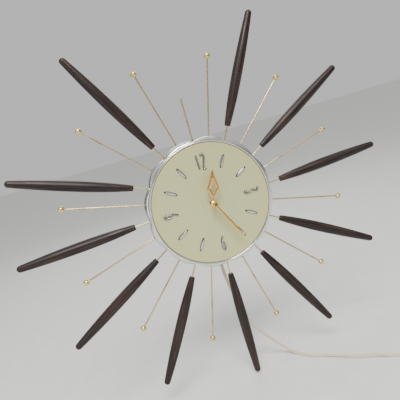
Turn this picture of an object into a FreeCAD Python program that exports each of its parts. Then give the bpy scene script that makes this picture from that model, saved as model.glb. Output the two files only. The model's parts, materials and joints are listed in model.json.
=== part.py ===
# Sunburst wall clock, electric, for a wall hook. Millimetres.
# Frame: +Z up, +X to the right as the dial is read, -Y out of the wall towards the reader.
# The origin is the centre of the keyhole in the rear cover; the wall is the plane Y = 0.
# The hand arbor lies hanger_rise below the origin. Depths are given as distances out of the wall.

import FreeCAD, Part, Sketcher
import math
import os

Vector = FreeCAD.Vector
Rotation = FreeCAD.Rotation

FRONT = Vector(0, -1, 0)

doc = FreeCAD.newDocument("sunburst_clock")

# ---------------------------------------------------------------- driving sizes

SIZES = [
    ("hanger_rise", 30.0, "keyhole above the hand arbor"),
    ("cover_clear", 0.84, "corners of the movement to the inside of the rear cover"),
    ("cover_depth", 30.0, "rear cover, wall to the front of its flange"),
    ("cover_wall", 1.0, "rear cover sheet"),
    ("cover_flange", 6.0, "width of the flange"),
    ("cover_bevel", 3.0, "bevel round the back"),
    ("keyhole_radius", 4.5, "lets the nail head in"),
    ("keyhole_slot", 2.3, "half the width of the slot"),
    ("keyhole_rise", 6.0, "head hole to the top of the slot"),
    ("knob_reach", 6.0, "gap for fingertips round the set knob"),
    ("sheet_metal", 1.2, "mounting plate and movement plates"),
    ("mount_step", 4.5, "mounting plate edge inside the ray ring's edge"),
    ("mount_window", 24.0, "opening for the motion work"),
    ("ring_depth", 8.0, "ray ring, where the rods go in"),
    ("ring_band", 12.5, "ray ring, inside to outside"),
    ("rim_band", 4.5, "rim that the dial sits on, inside to outside"),
    ("dial_radius", 97.0, "dial plate"),
    ("dial_sheet", 0.8, "dial plate thickness"),
    ("dial_rise", 12.5, "dial face in front of the plane of the rods"),
    ("dial_hole", 3.3, "centre hole"),
    ("ring_play", 0.5, "dial edge to ray ring edge"),
    ("bezel_fit", 0.2, "dial edge to bezel wall"),
    ("bezel_lap", 1.6, "bezel lip over the dial edge"),
    ("bezel_sheet", 1.0, "bezel sheet"),
    ("bezel_notch", 3.0, "bezel wall beyond the dial at the notches"),
    ("bezel_lobe", 7.5, "bezel wall beyond the dial at the lobes"),
    ("bezel_gap", 0.6, "bezel edge in front of the rods"),
    ("marker_radius", 67.0, "centres of the hour marks"),
    ("baton_length", 22.0, "long-oval hour mark"),
    ("baton_width", 5.0, "long-oval hour mark"),
    ("marker_height", 2.0, "hour marks stand off the dial"),
    ("stroke_width", 2.2, "numeral strokes"),
    ("numeral_length", 25.0, "height of the numerals"),
    ("numeral_width", 8.0, "width of one digit"),
    ("hand_gap", 12.2, "dial face to the back of the hour hand"),
    ("hand_step", 3.2, "back of the hour hand to the back of the minute hand"),
    ("hand_sheet", 0.6, "hand thickness"),
    ("hour_hand_length", 54.0, "arbor to tip"),
    ("hour_hand_width", 20.0, "across the spade"),
    ("minute_hand_length", 75.5, "arbor to tip"),
    ("minute_hand_width", 5.6, "across the leaf"),
    ("hour_hand_frame", 5.4, "sheet left each side of the cut-out"),
    ("hour_hand_turn", 12.7667, "from twelve, clockwise"),
    ("minute_hand_turn", 153.2, "from twelve, clockwise"),
    ("cap_radius", 3.4, "cap on the arbor"),
    ("cap_length", 9.0, "cap on the arbor"),
    ("rod_radius", 1.2, "brass rods"),
    ("rod_seat", 9.0, "length of rod inside the ring"),
    ("rod_free", 1.0, "ray ring to the place where a rod bends when it is knocked"),
    ("hour_rod_end", 166.5, "end of the rods on the hours"),
    ("ball_centre", 226.0, "arbor to the centres of the balls"),
    ("ball_radius", 4.7, "ball finials"),
    ("spindle_start", 123.5, "arbor to the inner ends of the spindles"),
    ("spindle_tip", 305.0, "arbor to the outer tips"),
    ("spindle_inner", 4.7, "radius at the inner end"),
    ("spindle_belly", 8.2, "largest radius"),
    ("spindle_belly_at", 0.44, "place of the largest radius, share of the length"),
    ("spindle_outer", 5.2, "radius at the outer end"),
    ("rod_fit", 0.05, "rod in the blind bore of a spindle"),
    ("plate_gap", 14.0, "between the movement plates"),
    ("arbor_radius", 1.7, "centre arbor"),
    ("pivot_radius", 0.8, "small arbors"),
    ("running_fit", 0.05, "radial play of arbors in their holes"),
    ("pipe_radius", 2.6, "outside of the hour pipe"),
    ("motion_centre", 12.0, "centre arbor to the minute wheel post"),
    ("centre_drive", 19.0, "centre arbor to the intermediate arbor"),
    ("rotor_drive", 18.0, "intermediate arbor to the rotor shaft"),
    ("capsule_radius", 9.8, "rotor capsule"),
    ("capsule_fit", 0.2, "capsule in the stator"),
    ("stack_wall", 2.1, "stator plates left round the capsule"),
    ("stack_depth", 6.0, "stator plates, back to front"),
    ("window_width", 14.0, "stator window, capsule side to coil leg"),
    ("leg_width", 5.0, "leg of the stator that the coil sits on"),
    ("knob_radius", 8.0, "set knob"),
    ("knob_length", 7.0, "set knob"),
    ("knob_sink", 2.0, "set knob in from the wall"),
    ("cord_radius", 2.65, "half the width of the cord"),
    ("cord_thickness", 3.4, "the cord's narrow way"),
    ("cord_side", -7.0, "cord exit, to the side of the arbor"),
    ("cord_out", 17.0, "cord exit, out of the wall"),
    ("relief_end", 70.0, "end of the strain relief below the arbor"),
    ("surface_drop", 3.0, "surface that the spare cord lies on, below the lowest tip"),
    ("coil_side", 263.0, "centre of the coil, to the side"),
    ("coil_out", 136.0, "centre of the coil, out of the wall"),
    ("coil_radius", 29.0, "middle of its turns"),
    ("tie_sheet", 0.8, "band round the coil"),
    ("plug_away", 42.0, "centre of the coil to the plug's tail, towards the wall"),
    ("screw_radius", 1.5, "sheet-metal screws"),
    ("screw_head", 2.7, "head radius"),
    ("head_height", 1.4, "head height"),
    ("screw_grip", 5.0, "length of a screw beyond the sheet"),
]

sheet = doc.addObject("Spreadsheet::Sheet", "Sizes")
for row, (name, value, note) in enumerate(SIZES, start=1):
    sheet.set("A%d" % row, name)
    sheet.set("B%d" % row, repr(value))
    sheet.set("C%d" % row, note)
    sheet.setAlias("B%d" % row, name)
doc.recompute()
SIZE = {name: value for name, value, note in SIZES}

# Angles of the lines between arbors, anticlockwise from +X, and where those arbors stand.
DRIVE_ANGLE = 205.0
ROTOR_ANGLE = 290.0
drive_angle = math.radians(DRIVE_ANGLE)
rotor_angle = math.radians(ROTOR_ANGLE)
intermediate = (SIZE["centre_drive"] * math.cos(drive_angle),
                SIZE["centre_drive"] * math.sin(drive_angle))
rotor = (intermediate[0] + SIZE["rotor_drive"] * math.cos(rotor_angle),
         intermediate[1] + SIZE["rotor_drive"] * math.sin(rotor_angle))
INTERMEDIATE = ("Sizes.centre_drive * cos(%g deg)" % DRIVE_ANGLE,
                "Sizes.centre_drive * sin(%g deg)" % DRIVE_ANGLE)
ROTOR = ("(%s + Sizes.rotor_drive * cos(%g deg))" % (INTERMEDIATE[0], ROTOR_ANGLE),
         "(%s + Sizes.rotor_drive * sin(%g deg))" % (INTERMEDIATE[1], ROTOR_ANGLE))

# The stator goes round the capsule; the plates' lower corners and the rear cover go round it.
BOARD_MARGIN = 0.85
BOARD_BESIDE_LEG = 4.0
BORE = "(Sizes.capsule_radius + Sizes.capsule_fit)"
AROUND = "(Sizes.capsule_radius + Sizes.capsule_fit + Sizes.stack_wall)"
BOARD_LOW = "(%s - %s)" % (ROTOR[1], AROUND)
BOARD_LEFT = "(%s - %s - %g)" % (ROTOR[0], AROUND, BOARD_MARGIN)
LEG_RIGHT = "(%s + %s + Sizes.window_width + Sizes.leg_width)" % (ROTOR[0], AROUND)
BOARD_RIGHT = "(%s + %g)" % (LEG_RIGHT, BOARD_BESIDE_LEG)
bore = SIZE["capsule_radius"] + SIZE["capsule_fit"]
around = bore + SIZE["stack_wall"]
stack_sides = (rotor[0] - around, rotor[0] + around + SIZE["window_width"] + SIZE["leg_width"])
stack_rises = (rotor[1] - around, rotor[1] + around)
corner_reach = max(math.hypot(stack_sides[0] - BOARD_MARGIN, stack_rises[0]),
                   math.hypot(stack_sides[1] + BOARD_BESIDE_LEG, stack_rises[0]))
last_row = len(SIZES) + 1
sheet.set("A%d" % last_row, "cover_radius")
sheet.set("B%d" % last_row, "=max(sqrt(%s^2 + %s^2); sqrt(%s^2 + %s^2)) + cover_clear + cover_wall"
          % tuple(w.replace("Sizes.", "") for w in (BOARD_LEFT, BOARD_LOW, BOARD_RIGHT, BOARD_LOW)))
sheet.set("C%d" % last_row, "rear cover, outside")
sheet.setAlias("B%d" % last_row, "cover_radius")
doc.recompute()
SIZE["cover_radius"] = corner_reach + SIZE["cover_clear"] + SIZE["cover_wall"]

# Radii about the arbor that follow from the dial, as words for the bound sizes and as numbers.
RING_OUTER = "(Sizes.dial_radius - Sizes.ring_play)"
RING_INNER = "(%s - Sizes.ring_band)" % RING_OUTER
RING_RIM = "(%s - Sizes.rim_band)" % RING_OUTER
ROD_BEND = "(%s + Sizes.rod_free)" % RING_OUTER
ring_outer = SIZE["dial_radius"] - SIZE["ring_play"]
ring_inner = ring_outer - SIZE["ring_band"]
rod_bend = ring_outer + SIZE["rod_free"]

# Depths out of the wall, as words for the bound sizes.
MOUNT_BACK = "Sizes.cover_depth"
RING_BACK = "(Sizes.cover_depth + Sizes.sheet_metal)"
RAY_PLANE = "(Sizes.cover_depth + Sizes.sheet_metal + Sizes.ring_depth / 2)"
DIAL_FACE = "(%s + Sizes.dial_rise)" % RAY_PLANE
HOUR_HAND = "(%s + Sizes.hand_gap)" % DIAL_FACE
MINUTE_HAND = "(%s + Sizes.hand_step)" % HOUR_HAND
CAP_BACK = "(%s + Sizes.hand_sheet)" % MINUTE_HAND
FRONT_PLATE = "(Sizes.cover_depth - Sizes.sheet_metal)"
REAR_PLATE_FACE = "(%s - Sizes.plate_gap)" % FRONT_PLATE
REAR_PLATE = "(%s - Sizes.sheet_metal)" % REAR_PLATE_FACE

# The same depths as numbers, for the shapes that are worked out in code.
mount_back = SIZE["cover_depth"]
ring_back = mount_back + SIZE["sheet_metal"]
ray_plane = ring_back + SIZE["ring_depth"] / 2
dial_face = ray_plane + SIZE["dial_rise"]
hour_hand = dial_face + SIZE["hand_gap"]
front_plate = mount_back - SIZE["sheet_metal"]
rear_plate_face = front_plate - SIZE["plate_gap"]
rear_plate = rear_plate_face - SIZE["sheet_metal"]

sub_parts = []


def keep(piece):
    """A finished piece of the clock; its label names its file."""
    sub_parts.append(piece)
    return piece


def below_hanger(piece, side="0", out="0", rise="0"):
    """Places a piece by its distances from the arbor axis and out of the wall."""
    piece.setExpression("Placement.Base.x", side)
    piece.setExpression("Placement.Base.y", "-(%s)" % out)
    piece.setExpression("Placement.Base.z", "%s - Sizes.hanger_rise" % rise)
    return piece


# ---------------------------------------------------------------- sketches and features


def new_body(name):
    body = doc.addObject("PartDesign::Body", name)
    body.Label = name
    return body


def origin_part(body, role):
    return [f for f in body.Origin.OriginFeatures if f.Role == role][0]


def new_sketch(body, role, offset=None):
    """XZ_Plane sketches face the reader; an offset is a distance out of the wall."""
    sketch = body.newObject("Sketcher::SketchObject", body.Name + "_sketch")
    sketch.AttachmentSupport = [(origin_part(body, role), "")]
    sketch.MapMode = "FlatFace"
    if offset:
        sketch.setExpression("AttachmentOffset.Base.z", offset)
    return sketch


def bind(sketch, constraint, words):
    index = sketch.addConstraint(constraint)
    label = "c%d" % index
    sketch.renameConstraint(index, label)
    sketch.setExpression("Constraints." + label, str(words))


def pin_point(sketch, edge, end, across, up, near=(1.0, 1.0)):
    """Pins a point to the sheet; near is where it is drawn."""
    bind(sketch, Sketcher.Constraint("DistanceX", -1, 1, edge, end, near[0]), across)
    bind(sketch, Sketcher.Constraint("DistanceY", -1, 1, edge, end, near[1]), up)


def outline(sketch, corners):
    """A closed polygon whose every corner is pinned to the sheet."""
    first = sketch.GeometryCount
    count = len(corners)
    ring = []
    for k in range(count):
        a = 2 * math.pi * k / count
        ring.append(Vector(20 * math.cos(a), 20 * math.sin(a), 0))
    for k in range(count):
        sketch.addGeometry(Part.LineSegment(ring[k], ring[(k + 1) % count]), False)
    for k in range(count):
        follower = first + (k + 1) % count
        sketch.addConstraint(Sketcher.Constraint("Coincident", first + k, 2, follower, 1))
    for k, (across, up) in enumerate(corners):
        pin_point(sketch, first + k, 1, across, up)


def circle(sketch, across, up, radius):
    index = sketch.addGeometry(Part.Circle(Vector(0, 0, 0), Vector(0, 0, 1), 5.0), False)
    pin_point(sketch, index, 3, across, up)
    bind(sketch, Sketcher.Constraint("Radius", index, 5.0), radius)


def pad(body, sketch, length):
    feature = body.newObject("PartDesign::Pad", body.Name + "_pad")
    feature.Profile = sketch
    feature.setExpression("Length", str(length))
    return feature


def pocket(body, sketch, length, reverse=False):
    feature = body.newObject("PartDesign::Pocket", body.Name + "_pocket")
    feature.Profile = sketch
    feature.setExpression("Length", str(length))
    feature.Reversed = reverse
    return feature


def repeat(body, feature, count):
    """Repeats a feature round the arbor axis."""
    pattern = body.newObject("PartDesign::PolarPattern", body.Name + "_pattern")
    pattern.Originals = [feature]
    pattern.Axis = (origin_part(body, "Y_Axis"), [""])
    pattern.Angle = 360
    pattern.Occurrences = count
    body.Tip = pattern
    return pattern


def revolve(body, sketch):
    feature = body.newObject("PartDesign::Revolution", body.Name + "_turned")
    feature.Profile = sketch
    feature.ReferenceAxis = (sketch, ["V_Axis"])
    feature.Angle = 360
    return feature


def turned(name, profile):
    """A piece turned about the arbor's direction: pairs of radius and distance out."""
    body = new_body(name)
    sketch = new_sketch(body, "XY_Plane")
    outline(sketch, [(radius, "-(%s)" % out) for radius, out in profile])
    revolve(body, sketch)
    return keep(below_hanger(body))


def flat_plate(name, corners, holes, out, thickness):
    """A flat plate whose back is at a distance out, with round holes."""
    body = new_body(name)
    sketch = new_sketch(body, "XZ_Plane", out)
    if corners:
        outline(sketch, corners)
    for side, rise, radius in holes:
        circle(sketch, side, rise, radius)
    pad(body, sketch, thickness)
    return body


def polar(radius, clock_angle):
    """Side and rise of a point at an angle clockwise from twelve."""
    a = math.radians(clock_angle)
    return radius * math.sin(a), radius * math.cos(a)


def place(side, out, rise):
    return Vector(side, -out, rise)


def add_shape(name, shape):
    """A piece whose solids are worked out in code, about the arbor axis."""
    piece = doc.addObject("Part::Feature", name)
    piece.Shape = Part.makeCompound(shape.Solids)
    piece.Label = name
    return keep(below_hanger(piece))


# ---------------------------------------------------------------- dial and bezel

dial = flat_plate(
    "dial_plate",
    [],
    [("0", "0", "Sizes.dial_radius"), ("0", "0", "Sizes.dial_hole")],
    DIAL_FACE + " - Sizes.dial_sheet",
    "Sizes.dial_sheet",
)
keep(below_hanger(dial))


def scalloped_wire(out, notch, lobe):
    """Twelve arcs that meet at the hours and bulge between them."""
    arcs = []
    for hour in range(12):
        ends = [polar(notch, 30 * (hour + step)) for step in (0, 1)]
        middle = polar(lobe, 30 * hour + 15)
        points = [place(side, out, rise) for side, rise in (ends[0], middle, ends[1])]
        arcs.append(Part.Arc(*points).toShape())
    return Part.Wire(arcs)


def skirt(front_radius, notch, lobe, front, back):
    face_wire = scalloped_wire(front, front_radius, front_radius)
    edge_wire = scalloped_wire(back, notch, lobe)
    return Part.makeLoft([face_wire, edge_wire], True, True)


def make_bezel():
    """A lip over the dial edge, and a skirt that spreads into twelve lobes."""
    wall = SIZE["bezel_sheet"]
    inner = SIZE["dial_radius"] + SIZE["bezel_fit"]
    notch = SIZE["dial_radius"] + SIZE["bezel_notch"]
    lobe = SIZE["dial_radius"] + SIZE["bezel_lobe"]
    back = ray_plane + SIZE["rod_radius"] + SIZE["bezel_gap"]
    front = dial_face + wall
    outside = skirt(inner + wall, notch, lobe, front, back)
    inside = skirt(inner, notch - wall, lobe - wall, dial_face, back)
    mouth = SIZE["dial_radius"] - SIZE["bezel_lap"]
    opening = Part.makeCylinder(mouth, 3 * wall, place(0, dial_face - wall, 0), FRONT)
    return outside.cut(inside).cut(opening)


add_shape("bezel_ring", make_bezel())

# ---------------------------------------------------------------- hour marks


def baton(angle):
    """A long oval with pointed ends, lying along its own hour line."""
    half_length = SIZE["baton_length"] / 2
    half_width = SIZE["baton_width"] / 2
    tips = [Vector(0, 0, -half_length), Vector(0, 0, half_length)]
    right = Part.Arc(tips[0], Vector(half_width, 0, 0), tips[1]).toShape()
    left = Part.Arc(tips[1], Vector(-half_width, 0, 0), tips[0]).toShape()
    solid = Part.Face(Part.Wire([right, left])).extrude(FRONT * SIZE["marker_height"])
    solid.translate(place(0, dial_face, SIZE["marker_radius"]))
    solid.rotate(Vector(0, 0, 0), Vector(0, 1, 0), angle)
    return solid


BATON_HOURS = (1, 2, 4, 5, 7, 8, 10, 11)
add_shape("hour_batons", Part.makeCompound([baton(30 * hour) for hour in BATON_HOURS]))


def stroke(points):
    """A flat strip with round ends along straight runs through the points."""
    half = SIZE["stroke_width"] / 2
    height = SIZE["marker_height"]
    solid = None
    for start, end in zip(points, points[1:]):
        a = Vector(start[0], 0, start[1])
        b = Vector(end[0], 0, end[1])
        along = b - a
        length = along.Length
        bar = Part.makeBox(length, height, 2 * half, Vector(0, -height, -half))
        for centre in (0, length):
            bar = bar.fuse(Part.makeCylinder(half, height, Vector(centre, 0, 0), FRONT))
        slope = math.degrees(math.atan2(along.z, along.x))
        bar.rotate(Vector(0, 0, 0), Vector(0, -1, 0), slope)
        bar.translate(a)
        solid = bar if solid is None else solid.fuse(bar)
    return solid.removeSplitter()


def sweep_points(centre, radii, start, stop, steps):
    """Points on an oval, from one angle to another, in shares of a digit's size."""
    points = []
    for k in range(steps + 1):
        a = math.radians(start + (stop - start) * k / steps)
        points.append((centre[0] + radii[0] * math.cos(a), centre[1] + radii[1] * math.sin(a)))
    return points


# Digits as runs in a box from -0.5 to 0.5 both ways.
DIGITS = {
    "1": [(-0.05, 0.5), (0.1, -0.5)],
    "2": sweep_points((0.0, 0.27), (0.42, 0.23), 165, -30, 5) + [(-0.42, -0.5), (0.5, -0.46)],
    "3": [(-0.5, 0.5), (0.45, 0.42), (-0.12, 0.08)]
    + sweep_points((0.0, -0.22), (0.42, 0.28), 60, -160, 5),
    "6": [(0.3, 0.5), (-0.22, 0.18)] + sweep_points((0.0, -0.24), (0.4, 0.26), 160, 520, 8),
}


def digit(name, shift, turn):
    """A digit, turned by half a turn where the nine is a six upside down."""
    wide = SIZE["numeral_width"] - SIZE["stroke_width"]
    tall = SIZE["numeral_length"] - SIZE["stroke_width"]
    solid = stroke([(shift + wide * across, tall * up) for across, up in DIGITS[name]])
    solid.rotate(Vector(0, 0, 0), Vector(0, 1, 0), turn)
    return solid


def numeral(digits, angle, turn):
    """Digits side by side on the hour line of an angle, each turned about its centre."""
    pitch = SIZE["numeral_width"] + SIZE["stroke_width"] / 2
    solids = []
    for k, name in enumerate(digits):
        solid = digit(name, pitch * (k - (len(digits) - 1) / 2), turn)
        side, rise = polar(SIZE["marker_radius"], angle)
        solid.translate(place(side, dial_face, rise))
        solids.append(solid)
    return Part.makeCompound(solids)


add_shape("numeral_12", numeral("12", 0, 0))
add_shape("numeral_3", numeral("3", 90, 90))
add_shape("numeral_6", numeral("6", 180, 0))
add_shape("numeral_9", numeral("6", 270, 90))

# ---------------------------------------------------------------- hands

HALF = "(Sizes.hour_hand_width / 2)"
LENGTH = "Sizes.hour_hand_length"
SPADE = [
    ("-1.6", "3"), ("-1.8", "0.16 * %s" % LENGTH), ("-(%s)" % HALF, "0.42 * %s" % LENGTH),
    ("-0.44 * %s" % HALF, "0.72 * %s" % LENGTH), ("0", LENGTH),
    ("0.44 * %s" % HALF, "0.72 * %s" % LENGTH),
    (HALF, "0.42 * %s" % LENGTH), ("1.8", "0.16 * %s" % LENGTH), ("1.6", "3"),
]
CUT_OUT = [
    ("0", "0.27 * %s" % LENGTH), ("Sizes.hour_hand_frame - %s" % HALF, "0.44 * %s" % LENGTH),
    ("0", "0.66 * %s" % LENGTH), ("%s - Sizes.hour_hand_frame" % HALF, "0.44 * %s" % LENGTH),
]
REACH = "Sizes.minute_hand_length"
WIDE = "Sizes.minute_hand_width / 2"
LEAF = [
    ("-1.5", "2.5"), ("-1.7", "0.12 * %s" % REACH), ("-(%s)" % WIDE, "0.76 * %s" % REACH),
    ("0", REACH), (WIDE, "0.76 * %s" % REACH), ("1.7", "0.12 * %s" % REACH), ("1.5", "2.5"),
]


def clock_hand(name, out, bore, boss, blade, cut_out, turn):
    """A flat hand: a round boss with a bore, and a blade that stands up from it."""
    body = new_body(name)
    hub = new_sketch(body, "XZ_Plane", out)
    circle(hub, "0", "0", boss)
    circle(hub, "0", "0", bore)
    pad(body, hub, "Sizes.hand_sheet")
    leaf = new_sketch(body, "XZ_Plane", out)
    outline(leaf, blade)
    if cut_out:
        outline(leaf, cut_out)
    pad(body, leaf, "Sizes.hand_sheet")
    body.Placement = FreeCAD.Placement(Vector(0, 0, 0), Rotation(Vector(0, 1, 0), 1))
    body.setExpression("Placement.Rotation.Angle", turn)
    return keep(below_hanger(body))


clock_hand("hour_hand", HOUR_HAND, "Sizes.pipe_radius", "Sizes.pipe_radius + 2.4", SPADE,
           CUT_OUT, "Sizes.hour_hand_turn")
clock_hand("minute_hand", MINUTE_HAND, "Sizes.arbor_radius", "Sizes.arbor_radius + 2.4", LEAF,
           None, "Sizes.minute_hand_turn")

CAP_FRONT = "(%s + Sizes.cap_length)" % CAP_BACK
turned("hand_cap", [
    ("Sizes.arbor_radius", CAP_BACK), ("Sizes.cap_radius", CAP_BACK),
    ("Sizes.cap_radius", CAP_FRONT + " - 0.6"), ("Sizes.cap_radius - 0.6", CAP_FRONT),
    ("0", CAP_FRONT), ("0", CAP_FRONT + " - 2"), ("Sizes.arbor_radius", CAP_FRONT + " - 2"),
])

# ---------------------------------------------------------------- ray ring and mounting plate

RING_FRONT = "(%s + Sizes.ring_depth)" % RING_BACK
RIM_FRONT = "(%s - Sizes.dial_sheet)" % DIAL_FACE
RING_SCREW_IN = 4.0
RING_SCREW_CIRCLE = "(%s + %g)" % (RING_INNER, RING_SCREW_IN)
ring_screw_circle = ring_inner + RING_SCREW_IN
RING_SCREW_ANGLES = (37.5, 127.5, 217.5, 307.5)


def make_ray_ring():
    """An L-section ring with 24 radial holes for the rods and 4 holes for screws."""
    body = new_body("ray_ring")
    section = new_sketch(body, "XY_Plane")
    outline(section, [
        (RING_INNER, "-" + RING_BACK), (RING_OUTER, "-" + RING_BACK),
        (RING_OUTER, "-" + RIM_FRONT), (RING_RIM, "-" + RIM_FRONT),
        (RING_RIM, "-" + RING_FRONT), (RING_INNER, "-" + RING_FRONT),
    ])
    revolve(body, section)
    screw = new_sketch(body, "XZ_Plane", RING_BACK)
    side, rise = ("%s * sin(%g deg)", "%s * cos(%g deg)")
    angle = RING_SCREW_ANGLES[0]
    circle(screw, side % (RING_SCREW_CIRCLE, angle), rise % (RING_SCREW_CIRCLE, angle),
           "Sizes.screw_radius")
    repeat(body, pocket(body, screw, "Sizes.screw_grip + 0.5", reverse=True), 4)
    hole = new_sketch(body, "XY_Plane")
    circle(hole, "0", "-" + RAY_PLANE, "Sizes.rod_radius")
    repeat(body, pocket(body, hole, RING_OUTER + " + 1", reverse=True), 24)
    return keep(below_hanger(body))


make_ray_ring()

COVER_SCREW_CIRCLE = "(Sizes.cover_radius + Sizes.cover_flange / 2)"
cover_screw_circle = SIZE["cover_radius"] + SIZE["cover_flange"] / 2
COVER_SCREW_ANGLES = (60, 180, 300)
MOVEMENT_SCREWS = ((-31, 23), (27, 23), (27, -10), (-31, -10))


def on_circle(circle_words, angles, radius):
    """Holes at angles clockwise from twelve."""
    holes = []
    for angle in angles:
        side = "%s * sin(%g deg)" % (circle_words, angle)
        rise = "%s * cos(%g deg)" % (circle_words, angle)
        holes.append((side, rise, radius))
    return holes


mounting_plate = flat_plate(
    "mounting_plate",
    [],
    [("0", "0", RING_OUTER + " - Sizes.mount_step"), ("0", "0", "Sizes.mount_window")]
    + on_circle(RING_SCREW_CIRCLE, RING_SCREW_ANGLES, "Sizes.screw_radius")
    + on_circle(COVER_SCREW_CIRCLE, COVER_SCREW_ANGLES, "Sizes.screw_radius")
    + [(side, rise, "Sizes.screw_radius") for side, rise in MOVEMENT_SCREWS],
    MOUNT_BACK,
    "Sizes.sheet_metal",
)
keep(below_hanger(mounting_plate))

# ---------------------------------------------------------------- rods, balls and spindles


def rod_axis(hour, lean, reach):
    """Start, bend and end of a rod that leaves the ring straight and may lean after it."""
    start = polar(ring_outer - SIZE["rod_seat"], 30 * hour)
    bend = polar(rod_bend, 30 * hour)
    step = polar(reach - rod_bend, 30 * hour + lean)
    points = [start, bend, (bend[0] + step[0], bend[1] + step[1])]
    return [place(side, ray_plane, rise) for side, rise in points]


def round_bar(start, end, radius):
    return Part.makeCylinder(radius, (end - start).Length, start, end - start)


def bent_bar(points, radius, bend_radius):
    """A round bar along two straight runs joined by a tangent arc."""
    start, corner, end = points
    arrive = (corner - start).normalize()
    leave = (end - corner).normalize()
    turn = arrive.getAngle(leave)
    back = bend_radius * math.tan(turn / 2)
    first = corner - arrive * back
    last = corner + leave * back
    middle = corner + (leave - arrive).normalize() * (bend_radius / math.cos(turn / 2) - bend_radius)
    edges = [
        Part.LineSegment(start, first).toShape(),
        Part.Arc(first, middle, last).toShape(),
        Part.LineSegment(last, end).toShape(),
    ]
    section = Part.Wire(Part.makeCircle(radius, start, arrive))
    return Part.Wire(edges).makePipeShell([section], True, False)


# Rays that have been knocked out of line: hour and lean in degrees, clockwise positive.
LEANS = {1: -3.0, 3: -2.5, 9: -2.0, 10: -10.8}
SPINDLE_HOURS = range(1, 12)


def hour_rod(hour):
    lean = LEANS.get(hour, 0)
    start, bend, end = rod_axis(hour, lean, SIZE["hour_rod_end"])
    if lean == 0:
        return round_bar(start, end, SIZE["rod_radius"])
    return bent_bar([start, bend, end], SIZE["rod_radius"], 3 * SIZE["rod_radius"])


add_shape("hour_rods", Part.makeCompound([hour_rod(hour) for hour in range(1, 13)]))


def half_hour_rod(hour):
    start, bend, end = rod_axis(hour - 0.5, 0, SIZE["ball_centre"])
    return round_bar(start, end, SIZE["rod_radius"])


add_shape("half_hour_rods", Part.makeCompound([half_hour_rod(hour) for hour in range(1, 13)]))


def ball_finial(hour):
    """A ball turned about its rod, with a blind bore that the rod fills."""
    start, bend, centre = rod_axis(hour - 0.5, 0, SIZE["ball_centre"])
    radius = SIZE["ball_radius"]
    bore = SIZE["rod_radius"]
    outward = (centre - bend).normalize()
    tip = centre + outward * radius
    seat = centre + FRONT * bore
    mouth = seat - outward * math.sqrt(radius * radius - bore * bore)
    edges = [
        Part.Arc(tip, centre + FRONT * radius, mouth).toShape(),
        Part.LineSegment(mouth, seat).toShape(),
        Part.LineSegment(seat, centre).toShape(),
        Part.LineSegment(centre, tip).toShape(),
    ]
    return Part.Face(Part.Wire(edges)).revolve(centre, outward, 360)


add_shape("ball_finials", Part.makeCompound([ball_finial(hour) for hour in range(1, 13)]))


def add_arc(sketch, start, end, centre):
    """An arc about a centre, drawn from near its place so that its pins settle it."""
    radius = math.dist(start, centre)
    angles = [math.atan2(p[1] - centre[1], p[0] - centre[0]) for p in (start, end)]
    full = Part.Circle(Vector(centre[0], centre[1], 0), Vector(0, 0, 1), radius)
    return sketch.addGeometry(Part.ArcOfCircle(full, angles[0], angles[1]), False)


def belly_centre(end_radius, end_at, belly, belly_at):
    """Centre of the arc that is level at the belly and passes through an end."""
    drop = belly - end_radius
    run = end_at - belly_at
    radius = (drop * drop + run * run) / (2 * drop)
    return belly - radius, belly_at


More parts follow.
